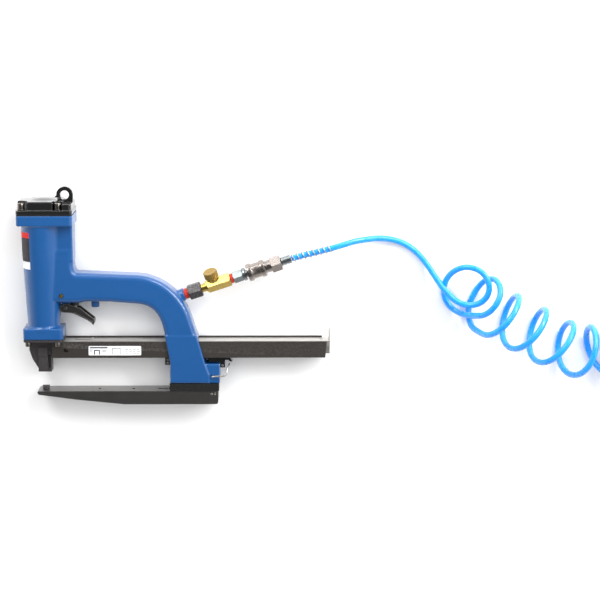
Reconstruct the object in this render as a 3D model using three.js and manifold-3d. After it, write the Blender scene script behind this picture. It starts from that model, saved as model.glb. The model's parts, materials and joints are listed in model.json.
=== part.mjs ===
// Pneumatic C-frame clinching stapler lying on its side, with its air fittings and spiral hose.
// Millimetres, +Z up, table at z = 0.
//
// The tool is modelled in its own axes inside the group "tool":
//   x runs along the magazine, from the nose to the loading end
//   y runs up the head, from the anvil to the cap
//   z runs across the tool
// The group leans by two small angles so that the tool rests on its cap, its anvil and its foot.
// The air fittings have their own nested group, with x along their common axis.
// The hose is laid in table axes.

import * as THREE from 'three';
import { mergeVertices } from 'three/addons/utils/BufferGeometryUtils.js';
import Module from 'manifold-3d';

const wasm = await Module();
wasm.setup();

// ---------- driving dimensions ----------

const GAP = 0.3;
const LEAN_X = 2.496;
const LEAN_Y = 0.534;

const ANVIL = { tip: -8.2, end: 227, height: 17.5, half: 16, flatFrom: 105, tipThickness: 4.6 };
const BUTTON = { x: 1.7, radius: 4.6, stem: 3, height: 4.6 };
const FOOT = { left: 164, right: 228.4, height: 10, half: 17 };
const HEAD = { axis: 1, bottom: 86.6, top: 249, half: 28.5, left: -28.9, right: 43.3 };
const BARREL = {
  bottomRadius: 20.4, waistRadius: 25.6, topRadius: 26.7, bottomY: 98, waistY: 195, topY: 235.8,
  sides: 32,
};
const CHAMBER = { left: 22, right: 41.9, bottom: 188, top: 243, half: 15, round: 2.5 };
const LOWER_FLANGE = { left: -24.3, right: 27.2, top: 101, half: 22, corner: 5 };
const HANDLE = { half: 17.5, round: 7 };
const COLUMN = { half: 17.9, round: 2.4, shoulder: 92 };
const BORE = { radius: 17, sleeveOuter: 16.6, sleeveInner: 14, bottom: 112.6, top: 200 };
const VALVE_CHAMBER = { radius: 24, bottom: 196 };
const PISTON = { radius: 13.6, bottom: 158, top: 180 };
const BLADE = { thickness: 1.4, width: 12, bottom: 88.5, top: 164 };
const CAP = {
  ledge: 5.6, height: 16.7, gasket: 0.8, crown: 4, crownRadius: 18, crownRise: 2.6, step: 3, stepAt: 30.3,
};
const CAP_SCREW = { left: -22.3, right: 24.4, half: 21.6, headRadius: 4.3, head: 7.4, shank: 2.3 };
const CAP_POCKET = { radius: 6, leftRadius: 8.4, reach: 12, height: 30 };
const EYE = {
  x: 31.6, rise: 6, outer: 10.7, hole: 5.6, half: 4.5, spread: 14, foot: [22.6, 30], footHalf: 9.5,
  footHeight: 2,
};
const NOSE = { bottom: 42.3, half: 9, barHalf: 11, innerHalf: 7.9, plate: 2.8 };
const NOSE_SCREW = { left: -18.5, right: 20.2, half: 18.1, headRadius: 3.4, head: 5.6, shank: 1.9 };
const MAGAZINE = {
  left: 12.2, right: 368.5, bottom: 61.4, top: 82.6, half: 14, wall: 1.8, rear: 85.3, rearLeft: 27.4,
};
const RAIL = {
  left: 17.6, right: 372.5, bottom: 65, top: 79.6, half: 4.9, wall: 1.2, tabTop: 102.5, tabHalf: 5.2,
};
const COVER = { left: 27.4, bottom: 76, top: 83.2, half: 11.9, wall: 1.1, solidFrom: 364.5 };
const STAPLES = { left: 4.6, right: 60, half: 6.4, wall: 1, bottom: 69 };
const PUSHER = { left: 61, right: 77, half: 6.4, wall: 1.3 };
const TRIGGER = { x: 30.4, y: 126.5, pivot: 5.4, half: 8, cheek: 1.6 };
const TRIGGER_VALVE = { x: 42, radius: 5, bottom: 129, top: 150, stem: 2 };
const INLET = { x: 184, y: 142.9, angle: 18.7, boss: 7.6 };
const KNOB = { along: 41, radius: 9.2, height: 9.5 };
const HOSE = { radius: 4, guardStart: 146.5, guardLength: 53.6, guardAngle: -4.7 };

// Holes for screws and pins, as radii.
const HOLE = { m5: 2.8, m4: 2.4, m6: 3.4, pin: 1.95 };
const ANVIL_BOLT = {
  places: [178, 196, 214], head: 5, headBottom: 1, headTop: 6.2, top: 44, shank: 3, sink: 6.2,
};
const SET_SCREW = { places: [218.5, 222.8], y: 13.6, radius: 1.55, inner: 9.4, outer: 16.2 };
const AIR_PLUG = { x: 25.8, y: 143.6, radius: 2.3, inner: 13.4, outer: 19.4 };
const BRACKET = {
  left: 158, right: 243, thickness: 2.2, half: 7, earInner: 4.6,
  screws: [[161.7, 53.4], [161.7, 57.8]],
};
const LATCH = { x: 219, y: 37.5, wire: 1.05, pin: [232.5, 50], pinRadius: 1.6 };

// Stations and radii along the air fittings' common axis.
const SEAL = { start: 0.3, end: 5.6, outer: 7, inner: 5 };
const UNION_NUT = { start: 5.9, end: 23.2, flats: 18.2, bore: 5 };
const VALVE = {
  start: 23.5, collar: 30, shoulder: 32, end: 63, neck: 5.6, collarRadius: 7.6, flats: 16.4, bore: 3.4,
};
const TOWER = { radius: 6, bore: 3.2, bottom: 4, top: 10.4, angle: 19 };
const NIPPLE_SEAL = { start: 63.3, end: 66.7, outer: 6.4, inner: 3.4 };
const NIPPLE = {
  start: 67, hexEnd: 79.8, collarEnd: 84, end: 101, flats: 14, collar: 8.6, spigot: 5, bore: 2.8,
};
const SLEEVE = {
  start: 86.3, end: 110.4, radius: 10, bore: 8.5, rings: [[86.9, 92.4, 11.7], [104.2, 109.8, 11.3]],
};
const COUPLER = {
  start: 88, hexStart: 118.3, end: 132.3, radius: 8, flats: 19, socket: 5.4, socketEnd: 102, bore: 3,
};
const FERRULE = { start: 132.6, end: 145.6, outer: 5.6, inner: 2.6 };
const END_PLUG = {
  ferrule: 14, hexEnd: 25, collarEnd: 28.6, end: 46, flats: 14, collar: 8.6, spigot: 5,
  lip: [36, 39, 5.9],
};

// The hose lies in table axes, measured from the end of its ferrule: x, y, and height above the table.
const HOSE_LEAD = [
  [0.34, 0.12, 23.7], [23.84, 6.12, 23.6], [46.84, 11.62, 23.6], [64.34, 16.62, 22],
  [81.34, 21.12, 17.5], [98.34, 23.62, 12.5], [115.84, 24.62, 8.5], [133.84, 22.12, 5.5],
  [150.34, 15.62, 4.5], [164.84, 4.62, 5], [176.34, -8.88, 8], [185.34, -22.08, 13]];

// The spiral's outer tube: it starts at the first coil, runs straight, bends round and is recoiled.
const SPIRAL = {
  outer: 36.5,
  start: [[202.34, -21.88], [230.34, -41.88], [260.94, -67.08]],
  heading: -26.8,
  straight: 95.8,
  bendRadius: 95,
  endHeading: 35,
  recoiled: 128.4,
  packGap: 4,
};
const TAIL = { from: 25, to: 76, lift: 8.9 };

// ---------- geometry helpers ----------

const UP = new THREE.Vector3(0, 1, 0);

// A closed triangle mesh becomes a solid that can be joined and cut.
function toSolid(geometry) {
  const bare = geometry.clone();
  bare.deleteAttribute('normal');
  bare.deleteAttribute('uv');
  const merged = mergeVertices(bare, 1e-4);
  const index = merged.index.array;
  const triangles = [];
  for (let i = 0; i < index.length; i += 3) {
    const [a, b, c] = [index[i], index[i + 1], index[i + 2]];
    const hasArea = a !== b && b !== c && c !== a;
    if (hasArea) {
      triangles.push(a, b, c);
    }
  }
  return new wasm.Manifold(new wasm.Mesh({
    numProp: 3,
    vertProperties: new Float32Array(merged.attributes.position.array),
    triVerts: new Uint32Array(triangles),
  }));
}

function toGeometry(solid) {
  const mesh = solid.getMesh();
  const geometry = new THREE.BufferGeometry();
  geometry.setAttribute('position', new THREE.BufferAttribute(mesh.vertProperties, 3));
  geometry.setIndex(new THREE.BufferAttribute(mesh.triVerts, 1));
  geometry.computeVertexNormals();
  return geometry;
}

const join = (first, ...rest) => rest.reduce((whole, piece) => whole.add(piece), first);
const cut = (first, ...rest) => rest.reduce((whole, piece) => whole.subtract(piece), first);

function block([x0, x1], [y0, y1], [z0, z1]) {
  const geometry = new THREE.BoxGeometry(x1 - x0, y1 - y0, z1 - z0);
  geometry.translate((x0 + x1) / 2, (y0 + y1) / 2, (z0 + z1) / 2);
  return toSolid(geometry);
}

// A round rod, or a cone when endRadius differs, between two points.
function rod(radius, from, to, sides = 20, endRadius = radius) {
  const start = new THREE.Vector3(...from);
  const along = new THREE.Vector3(...to).sub(start);
  const geometry = new THREE.CylinderGeometry(endRadius, radius, along.length(), sides);
  geometry.translate(0, along.length() / 2, 0);
  geometry.applyQuaternion(new THREE.Quaternion().setFromUnitVectors(UP, along.normalize()));
  geometry.translate(...from);
  return toSolid(geometry);
}

const hexRod = (acrossFlats, from, to) => rod(acrossFlats / Math.sqrt(3), from, to, 6);
const tube = (outer, inner, from, to, sides = 20) =>
  cut(rod(outer, from, to, sides), rod(inner, from, to, sides));

// An outline in x and y, extruded across the tool, with its edges rounded by "round".
function across(shape, half, round = 0, segments = 2) {
  const geometry = new THREE.ExtrudeGeometry(shape, {
    depth: 2 * (half - round),
    curveSegments: 6,
    bevelEnabled: round > 0,
    bevelThickness: round,
    bevelSize: round,
    bevelOffset: -round,
    bevelSegments: segments,
  });
  geometry.translate(0, 0, -(half - round));
  return toSolid(geometry);
}

const polygon = (points) => new THREE.Shape(points.map(([x, y]) => new THREE.Vector2(x, y)));

// A rounded rectangle in x and z, extruded along y.
function pad([x0, x1], half, corner, y0, y1) {
  const shape = new THREE.Shape();
  shape.moveTo(x0 + corner, -half);
  shape.lineTo(x1 - corner, -half);
  shape.absarc(x1 - corner, -half + corner, corner, -Math.PI / 2, 0);
  shape.lineTo(x1, half - corner);
  shape.absarc(x1 - corner, half - corner, corner, 0, Math.PI / 2);
  shape.lineTo(x0 + corner, half);
  shape.absarc(x0 + corner, half - corner, corner, Math.PI / 2, Math.PI);
  shape.lineTo(x0, -half + corner);
  shape.absarc(x0 + corner, -half + corner, corner, Math.PI, 1.5 * Math.PI);
  const geometry = new THREE.ExtrudeGeometry(shape, {
    depth: y1 - y0,
    curveSegments: 4,
    bevelEnabled: false,
  });
  geometry.rotateX(Math.PI / 2);
  geometry.translate(0, y1, 0);
  return toSolid(geometry);
}

// ---------- materials and assembly ----------

function material(color, roughness, metalness) {
  return new THREE.MeshStandardMaterial({ color, roughness, metalness });
}

const blueEnamel = material(0x265fa5, 0.35, 0.1);
const blackEnamel = material(0x1c1e1d, 0.3, 0.1);
const darkSteel = material(0x3c3836, 0.45, 0.7);
const brightSteel = material(0xa8a49c, 0.35, 0.9);
const blackPlastic = material(0x2a2727, 0.5, 0.0);
const blackRubber = material(0x1a1a1a, 0.85, 0.0);
const redRubber = material(0xc83a30, 0.6, 0.0);
const brass = material(0xc8a860, 0.35, 0.9);
const nickel = material(0xaaa096, 0.3, 0.95);
const zinc = material(0x8c969b, 0.35, 0.9);
const aluminium = material(0x9a9a9a, 0.45, 0.8);
const bluePolyurethane = material(0x1ea5ff, 0.3, 0.0);

const object = new THREE.Group();
const tool = new THREE.Group();
const fittings = new THREE.Group();
const guardGroup = new THREE.Group();
const hose = new THREE.Group();
tool.rotation.set(THREE.MathUtils.degToRad(LEAN_X), THREE.MathUtils.degToRad(LEAN_Y), 0, 'YXZ');
fittings.position.set(INLET.x, INLET.y, 0);
fittings.rotation.z = THREE.MathUtils.degToRad(INLET.angle);
object.add(tool, hose);
tool.add(fittings);
fittings.add(guardGroup);

function addPart(parent, name, solid, surface) {
  const mesh = new THREE.Mesh(toGeometry(solid), surface);
  mesh.name = name;
  parent.add(mesh);
  return mesh;
}

// ---------- housing ----------

const axisPoint = (y, z = 0) => [HEAD.axis, y, z];
const inletDirection = new THREE.Vector3(1, 0, 0).applyAxisAngle(
  new THREE.Vector3(0, 0, 1), THREE.MathUtils.degToRad(INLET.angle));
const alongInlet = (distance) => [
  INLET.x + inletDirection.x * distance, INLET.y + inletDirection.y * distance, 0];
const footTop = ANVIL.height + GAP + FOOT.height;
const housingFoot = footTop + GAP;
const boltPlaces = ANVIL_BOLT.places.map((x) => [x, 0]);
const capScrewPlaces = [
  [CAP_SCREW.left, CAP_SCREW.half], [CAP_SCREW.right, CAP_SCREW.half],
  [CAP_SCREW.left, -CAP_SCREW.half], [CAP_SCREW.right, -CAP_SCREW.half]];
const noseScrewPlaces = [
  [NOSE_SCREW.left, NOSE_SCREW.half], [NOSE_SCREW.right, NOSE_SCREW.half],
  [NOSE_SCREW.left, -NOSE_SCREW.half], [NOSE_SCREW.right, -NOSE_SCREW.half]];

// Air chamber behind the barrel, handle and upper column in one outline.
function handleOutline() {
  const shape = new THREE.Shape();
  shape.moveTo(6, 134);
  shape.lineTo(49, 134);
  shape.lineTo(55, 135.6);
  shape.lineTo(88, 135.2);
  shape.lineTo(122, 132.6);
  shape.bezierCurveTo(148, 131.5, 155.5, 112, 158.6, 88.4);
  shape.lineTo(159.8, 82);
  shape.lineTo(202.7, 82);
  shape.lineTo(192.1, 115);
  shape.bezierCurveTo(184, 142, 158, 168.6, 122.6, 170.2);
  shape.lineTo(46, 173.2);
  shape.quadraticCurveTo(37, 174, CHAMBER.right, CHAMBER.bottom);
  shape.lineTo(CHAMBER.right, CHAMBER.bottom + 20);
  shape.lineTo(6, CHAMBER.bottom + 20);
  return shape;
}

function columnOutline() {
  return polygon([
    [164.8, housingFoot], [216, housingFoot], [216, 39], [210.5, 54], [205.1, 74],
    [199.5, COLUMN.shoulder], [158.1, COLUMN.shoulder], [163.8, 62.3], [165.2, 52],
    [164.8, 43.6]]);
}

// The handle is a hollow casting: its air space follows the outline 5 mm inside the wall.
function airSpace() {
  const shape = new THREE.Shape();
  shape.moveTo(20, 152);
  shape.lineTo(60, 146);
  shape.lineTo(122, 142);
  shape.bezierCurveTo(140, 140, 150, 130, 156, 122);
  shape.lineTo(176, 132);
  shape.bezierCurveTo(168, 146, 150, 159, 122, 161);
  shape.lineTo(50, 164);
  shape.lineTo(30, 172);
  shape.lineTo(29, 214);
  shape.lineTo(20, 214);
  return across(shape, 12);
}

function mainHousing() {
  const { bottomRadius, waistRadius, topRadius, bottomY, waistY, topY, sides } = BARREL;
  const barrel = join(
    rod(bottomRadius, axisPoint(bottomY), axisPoint(waistY), sides, waistRadius),
    rod(waistRadius, axisPoint(waistY), axisPoint(topY + 2), sides, topRadius));
  const chamberSide = polygon([
    [CHAMBER.left, CHAMBER.bottom], [CHAMBER.right, CHAMBER.bottom], [CHAMBER.right, CHAMBER.top],
    [CHAMBER.left, CHAMBER.top]]);
  const chamber = across(chamberSide, CHAMBER.half, CHAMBER.round, 2);
  const topFlange = pad([HEAD.left, HEAD.right], HEAD.half, 5, BARREL.topY, HEAD.top);
  const lowerFlange = pad([LOWER_FLANGE.left, LOWER_FLANGE.right], LOWER_FLANGE.half, LOWER_FLANGE.corner,
    HEAD.bottom, LOWER_FLANGE.top);
  const flangeFlare = pad([LOWER_FLANGE.left + 2.4, LOWER_FLANGE.right - 2.4],
    LOWER_FLANGE.half - 1.6, 6, LOWER_FLANGE.top - 1, LOWER_FLANGE.top + 4);
  const handle = across(handleOutline(), HANDLE.half, HANDLE.round, 3);
  const column = across(columnOutline(), COLUMN.half, COLUMN.round, 1);
  const rearBlock = block([205, 229.3], [housingFoot, 53.2], [-16.5, 16.5]);
  const triggerLug = join(
    block([TRIGGER.x - 5, TRIGGER.x + 5], [TRIGGER.y, 136], [-3.8, 3.8]),
    rod(5, [TRIGGER.x, TRIGGER.y, -3.8], [TRIGGER.x, TRIGGER.y, 3.8]));
  const underBoss = rod(5.2, [68, 126.6, 0], [68, 138, 0], 20);
  const inletBoss = rod(INLET.boss, alongInlet(-14), alongInlet(0), 20);
  const outside = join(barrel, chamber, topFlange, lowerFlange, flangeFlare, handle, column,
    rearBlock, triggerLug, underBoss, inletBoss);
  const screwHoles = capScrewPlaces.map(([x, z]) => rod(HOLE.m5, [x, 238, z], [x, 251, z], 12));
  const noseHoles = noseScrewPlaces.map(([x, z]) => rod(HOLE.m4, [x, 85, z], [x, 96, z], 12));
  const boltHoles = boltPlaces.map(([x, z]) => rod(HOLE.m6, [x, 27, z], [x, 46, z], 12));
  return cut(outside,
    rod(BORE.radius, axisPoint(80), axisPoint(205), 24),
    rod(VALVE_CHAMBER.radius, axisPoint(VALVE_CHAMBER.bottom), axisPoint(260), 24),
    airSpace(),
    rod(5.4, [TRIGGER_VALVE.x, 120, 0], [TRIGGER_VALVE.x, 155, 0], 20),
    rod(5.2, alongInlet(-30), alongInlet(4), 20),
    rod(HOLE.pin, [TRIGGER.x, TRIGGER.y, -6], [TRIGGER.x, TRIGGER.y, 6], 12),
    block([140, 240], [MAGAZINE.bottom - 0.5, MAGAZINE.rear + 0.5],
      [-MAGAZINE.half - 0.5, MAGAZINE.half + 0.5]),
    block([140, 240], [45.8, 62], [-7.6, 7.6]),
    rod(AIR_PLUG.radius + 0.4, [AIR_PLUG.x, AIR_PLUG.y, AIR_PLUG.inner - 0.4],
      [AIR_PLUG.x, AIR_PLUG.y, 24], 16),
    rod(LATCH.wire + 0.55, [LATCH.x, LATCH.y, -20], [LATCH.x, LATCH.y, 20], 12),
    ...screwHoles, ...noseHoles, ...boltHoles);
}

// ---------- head ----------

function capOutlinePad(inset, y0, y1) {
  return pad([HEAD.left + inset, HEAD.right - inset], HEAD.half - inset, 4.5, y0, y1);
}

// The cap stands on a ledge that shows in a pocket round each screw, open to the cap's corner.
function topCap(bottom) {
  const { ledge, height, crown, crownRadius, crownRise } = CAP;
  const seat = bottom + ledge;
  const top = bottom + height;
  const upwards = [seat, seat + CAP_POCKET.height];
  const dome = rod(crownRadius, [crown, top - 1, 0], [crown, top + crownRise, 0], 28, 13);
  const pockets = capScrewPlaces.flatMap(([x, z]) => {
    const { reach } = CAP_POCKET;
    const radius = x < HEAD.axis ? CAP_POCKET.leftRadius : CAP_POCKET.radius;
    const outside = z > 0 ? [z, z + reach] : [z - reach, z];
    const inside = z > 0 ? [z - radius, z] : [z, z + radius];
    const openings = x < HEAD.axis
      ? [block([x - reach, x + radius], upwards, outside), block([x - reach, x], upwards, inside)]
      : [block([x - radius, x + radius], upwards, outside)];
    return [
      rod(radius, [x, seat, z], [x, seat + CAP_POCKET.height, z], 20),
      ...openings,
      rod(HOLE.m5, [x, bottom - 1, z], [x, seat + 1, z], 12),
    ];
  });
  return cut(
    join(capOutlinePad(0, bottom, seat), capOutlinePad(1.2, seat - 0.5, top), dome),
    block([CAP.stepAt, 60], [top - CAP.step, top + 5], [-40, 40]),
    ...pockets,
    rod(20, axisPoint(bottom - 1), axisPoint(bottom + 8), 24));
}

function capGasket(bottom) {
  const holes = capScrewPlaces.map(([x, z]) => rod(HOLE.m5, [x, bottom - 1, z], [x, bottom + 3, z], 12));
  return cut(capOutlinePad(0.3, bottom, bottom + CAP.gasket), ...holes,
    rod(22, axisPoint(bottom - 1), axisPoint(bottom + 3), 24));
}

// A socket-head screw standing on "seat", with its shank going down.
function socketScrew([x, z], seat, headRadius, head, shank, length) {
  const washer = rod(headRadius + 0.5, [x, seat, z], [x, seat + 1.4, z], 20);
  const top = rod(headRadius, [x, seat + 1.2, z], [x, seat + 1.4 + head, z], 20);
  const stem = rod(shank, [x, seat - length, z], [x, seat + 1, z], 12);
  const socket = hexRod(headRadius, [x, seat + 1.4 + head / 2, z], [x, seat + 3 + head, z]);
  return cut(join(washer, top, stem), socket);
}

// Hanging eye: a plate with a ring, standing partly on the cap's top and partly on its lower step.
function suspensionEye(seat) {
  const centre = seat + EYE.rise;
  const lowSeat = seat - CAP.step;
  const ring = rod(EYE.outer, [EYE.x, centre, -EYE.half], [EYE.x, centre, EYE.half], 24);
  const web = across(polygon([
    [EYE.x - EYE.spread, lowSeat], [EYE.x + EYE.outer, lowSeat], [EYE.x + EYE.outer, centre],
    [EYE.x - EYE.outer, centre], [EYE.x - EYE.spread, seat + 1.5]]), EYE.half);
  const foot = block(EYE.foot, [seat, seat + EYE.footHeight], [-EYE.footHalf, EYE.footHalf]);
  const capSpace = block([0, CAP.stepAt + GAP], [seat - 20, seat], [-12, 12]);
  const stepSpace = block([0, 60], [seat - 20, lowSeat], [-12, 12]);
  const crownTop = [CAP.crown, seat + CAP.crownRise, 0];
  const crownSpace = rod(CAP.crownRadius + 2 * GAP, [CAP.crown, seat - 20, 0], crownTop, 40);
  const hole = rod(EYE.hole, [EYE.x, centre, -9], [EYE.x, centre, 9], 20);
  return cut(join(ring, web, foot), capSpace, stepSpace, crownSpace, hole);
}

function headValve() {
  const bottom = BORE.top + GAP;
  const body = rod(VALVE_CHAMBER.radius - 0.5, axisPoint(bottom), axisPoint(bottom + 20), 24);
  return cut(body, rod(9, axisPoint(bottom - 1), axisPoint(bottom + 22), 24),
    rod(19, axisPoint(bottom + 8), axisPoint(bottom + 22), 24));
}

function piston() {
  const body = rod(PISTON.radius, axisPoint(PISTON.bottom), axisPoint(PISTON.top), 24);
  const groove = tube(PISTON.radius + 2, PISTON.radius - 2.4, axisPoint(172), axisPoint(175.6), 24);
  const slot = block([HEAD.axis - 1.2, HEAD.axis + 1.2], [PISTON.bottom - 1, BLADE.top + 1],
    [-BLADE.width / 2 - 0.5, BLADE.width / 2 + 0.5]);
  return cut(body, groove, slot);
}

function bumper() {
  const body = rod(BORE.radius - 0.5, axisPoint(HEAD.bottom + GAP), axisPoint(BORE.bottom - GAP), 24);
  return cut(body, rod(7.2, axisPoint(80), axisPoint(120), 20));
}

// ---------- nose ----------

function noseBasePlate() {
  const y0 = HEAD.bottom - GAP - NOSE.plate;
  const plate = pad([LOWER_FLANGE.left, LOWER_FLANGE.right], LOWER_FLANGE.half, LOWER_FLANGE.corner,
    y0, y0 + NOSE.plate);
  const holes = noseScrewPlaces.map(([x, z]) => rod(HOLE.m4, [x, y0 - 1, z], [x, y0 + 5, z], 12));
  const slot = block([HEAD.axis - 1.4, HEAD.axis + 1.4], [y0 - 1, y0 + 5], [-6.9, 6.9]);
  return cut(plate, slot, ...holes);
}

function noseBody() {
  const top = HEAD.bottom - GAP - NOSE.plate - GAP;
  const side = across(polygon([
    [-4.6, NOSE.bottom], [10.4, NOSE.bottom], [10.4, 60.8], [16.6, 60.8], [16.6, 64],
    [12, 66.6], [6.8, 71], [6.8, top], [-17.9, top], [-17.9, 71], [-14.7, 61], [-13.8, 58.5], [-6.9, 47.4]]),
    NOSE.half);
  const inner = across(polygon([[0, 62], [12, 62], [12, top], [0, top]]), NOSE.innerHalf);
  const bar = across(polygon([
    [-6.4, NOSE.bottom + 0.6], [5.6, NOSE.bottom + 0.6], [5.6, 75], [-6.4, 75]]), NOSE.barHalf);
  const grooves = [60.4, 62.6].map((y) =>
    cut(block([-8, 7.5], [y, y + 0.9], [-12, 12]), block([-9, 9], [50, 80], [-10.4, 10.4])));
  const windows = [-1, 1].map((sign) => block([6.4, 9.4], [47, 64.5],
    sign > 0 ? [NOSE.half - 3, 12] : [-12, 3 - NOSE.half]));
  const driveChannel = block([HEAD.axis - 1.2, HEAD.axis + 1.2], [40, 90], [-6.8, 6.8]);
  const stapleInlet = block([HEAD.axis - 1.2, 24], [62.8, top + 1], [-7.2, 7.2]);
  return cut(join(side, inner, bar), driveChannel, stapleInlet, ...grooves, ...windows);
}

// A pan-head screw whose head hangs below the plate.
function noseScrew([x, z]) {
  const seat = HEAD.bottom - GAP - NOSE.plate - GAP;
  const head = rod(NOSE_SCREW.headRadius, [x, seat - NOSE_SCREW.head, z], [x, seat, z], 18);
  const stem = rod(NOSE_SCREW.shank, [x, seat - 1, z], [x, 94, z], 12);
  const socket = hexRod(3.4, [x, seat - NOSE_SCREW.head - 1, z], [x, seat - 3, z]);
  return cut(join(head, stem), socket);
}

// ---------- magazine ----------

function magazineChannel() {
  const { left, right, bottom, top, half, wall, rear, rearLeft } = MAGAZINE;
  const floor = block([left + 5, right - 2], [bottom, bottom + wall], [-half, half]);
  const front = across(polygon([[left, bottom], [right - 2, bottom], [right, top], [left, top]]), wall / 2)
    .translate([0, 0, half - wall / 2]);
  const back = block([rearLeft, 362.6], [bottom, rear], [-half, -half + wall]);
  const hole = rod(3, [30.2, 71.6, 0], [30.2, 71.6, 20], 20);
  return cut(join(floor, front, back), hole);
}

// The rail: a hollow core that the staples straddle, and a slotted cover, joined at the loading end.
function magazineRail() {
  const { left, right, bottom, top, half, wall, tabTop, tabHalf } = RAIL;
  const coverInside = COVER.half - COVER.wall;
  const core = cut(block([left, right], [bottom, top], [-half, half]),
    block([left - 1, COVER.solidFrom], [bottom - 1, top - wall], [-half + wall, half - wall]));
  const cover = cut(
    block([COVER.left, right], [COVER.bottom, COVER.top], [-COVER.half, COVER.half]),
    block([COVER.left - 1, COVER.solidFrom], [COVER.bottom - 1, COVER.top - COVER.wall],
      [-coverInside, coverInside]),
    block([39.8, 60.5], [COVER.top - 3, COVER.top + 1], [-3, 3]),
    rod(2.2, [361.5, COVER.top - 3, 0], [361.5, COVER.top + 1, 0], 16));
  const lipSide = polygon([
    [61.4, COVER.top - 0.3], [65.4, COVER.top - 0.3], [64.8, COVER.top + 1.8], [62.4, COVER.top + 1.8]]);
  const lip = across(lipSide, 4);
  const tabPlate = join(
    block([right - 1.6, right], [bottom, tabTop - tabHalf], [-tabHalf, tabHalf]),
    rod(tabHalf, [right - 1.6, tabTop - tabHalf, 0], [right, tabTop - tabHalf, 0], 20));
  return join(core, cover, lip, tabPlate);
}

function saddle([x0, x1], bottom, top, half, inside, ceiling) {
  return cut(block([x0, x1], [bottom, top], [-half, half]),
    block([x0 - 1, x1 + 1], [bottom - 1, ceiling], [-inside, inside]));
}

function stapleStrip() {
  const clear = RAIL.half + GAP;
  return saddle([STAPLES.left, STAPLES.right], STAPLES.bottom, RAIL.top + GAP + STAPLES.wall,
    STAPLES.half, clear, RAIL.top + GAP);
}

function pusher() {
  const { left, right, half, wall } = PUSHER;
  return saddle([left, right], 67, RAIL.top + GAP + wall, half, RAIL.half + GAP, RAIL.top + GAP);
}

// Plate under the magazine, with an ear screwed to the housing, one for the latch and a catch end.
function magazineBracket() {
  const { left, right, thickness, half, earInner } = BRACKET;
  const top = MAGAZINE.bottom - GAP;
  const plate = block([left, right], [top - thickness, top], [-half, half]);
  const screwEar = block([left, left + 7.6], [50.6, top - 1], [earInner, half]);
  const latchEar = block([214.8, 236], [47, top - 1], [earInner, half]);
  const catchEnd = across(polygon([
    [right - 11, top - 2], [right, top - 2], [right + 2.5, top - 6.2], [right - 0.4, top - 6.2],
    [right - 3, top - 4], [right - 11, top - 4]]), half);
  const housingSpace = block([214, 229.7], [40, 54], [4, 9]);
  const pinHole = rod(HOLE.pin, [...LATCH.pin, 0], [...LATCH.pin, 12], 12);
  const screwHoles = BRACKET.screws.map(([x, y]) => rod(1.4, [x, y, 0], [x, y, 12], 10));
  return cut(join(plate, screwEar, catchEnd, latchEar), housingSpace, pinHole, ...screwHoles);
}

function smallScrew([x, y], from, head) {
  const pan = rod(2, [x, y, head], [x, y, head + 1.5], 14);
  return join(pan, rod(1.05, [x, y, from], [x, y, head + 1], 10));
}

// Spring-wire latch: it pivots in the housing's cross hole and hooks on the bracket's pin.
function latchWire() {
  const path = new THREE.CatmullRomCurve3([
    [LATCH.x, LATCH.y, 12], [LATCH.x, LATCH.y, 19], [221.5, 37.7, 20.4], [228, 38.2, 20.6],
    [234, 38.4, 20.6], [237.6, 40.4, 20], [239, 45, 18], [240, 49, 14], [241.5, 51.4, 10], [241.5, 51.4, 4],
  ].map((point) => new THREE.Vector3(...point)));
  const section = new THREE.Shape();
  section.absarc(0, 0, LATCH.wire, 0, 2 * Math.PI);
  return toSolid(new THREE.ExtrudeGeometry(section, {
    steps: 26, curveSegments: 3, bevelEnabled: false, extrudePath: path }));
}

// ---------- anvil ----------

function anvilArm() {
  const { tip, end, height, half, flatFrom, tipThickness } = ANVIL;
  const shape = new THREE.Shape();
  shape.moveTo(flatFrom, 0);
  shape.lineTo(end - 3, 0);
  shape.quadraticCurveTo(end, 0, end, 3);
  shape.lineTo(end, height);
  shape.lineTo(tip + 2, height);
  shape.quadraticCurveTo(tip, height, tip, height - 2);
  shape.lineTo(tip + 1.6, height - tipThickness);
  shape.lineTo(42, 6.4);
  const holes = [71.6, 115.8].map((x) => rod(2.3, [x, height - 8, 0], [x, height + 1, 0], 16));
  const slot = join(block([150, 164], [height - 5, height + 1], [-2.4, 2.4]),
    rod(2.4, [150, height - 5, 0], [150, height + 1, 0], 16));
  const boltHoles = boltPlaces.flatMap(([x, z]) => [
    rod(HOLE.m6, [x, -1, z], [x, height + 1, z], 12), rod(ANVIL_BOLT.sink, [x, -1, z], [x, 6.6, z], 18)]);
  const setHoles = SET_SCREW.places.map((x) =>
    rod(SET_SCREW.radius + 0.35, [x, SET_SCREW.y, SET_SCREW.inner - 0.4], [x, SET_SCREW.y, 20], 10));
  const buttonHole = rod(BUTTON.stem + 0.4, [BUTTON.x, height - 3.4, 0], [BUTTON.x, height + 1, 0], 16);
  return cut(across(shape, half), ...holes, slot, ...boltHoles, ...setHoles, buttonHole);
}

// Clinching button: two hollows across its top fold the staple's legs.
function clinchButton() {
  const seat = ANVIL.height + GAP;
  const { x, radius, stem, height } = BUTTON;
  const head = rod(radius, [x, seat, 0], [x, seat + height, 0], 24);
  const peg = rod(stem, [x, seat - 3.2, 0], [x, seat + 1, 0], 16);
  const grooves = [-3.4, 3.4].map((z) =>
    rod(2.6, [HEAD.axis - 4, seat + height + 1.6, z], [HEAD.axis + 4, seat + height + 1.6, z], 14));
  return cut(join(head, peg), ...grooves);
}

function footBlock() {
  const y0 = ANVIL.height + GAP;
  const holes = boltPlaces.map(([x, z]) => rod(HOLE.m6, [x, y0 - 1, z], [x, y0 + 12, z], 12));
  return cut(block([FOOT.left, FOOT.right], [y0, y0 + FOOT.height], [-FOOT.half, FOOT.half]), ...holes);
}

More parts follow.
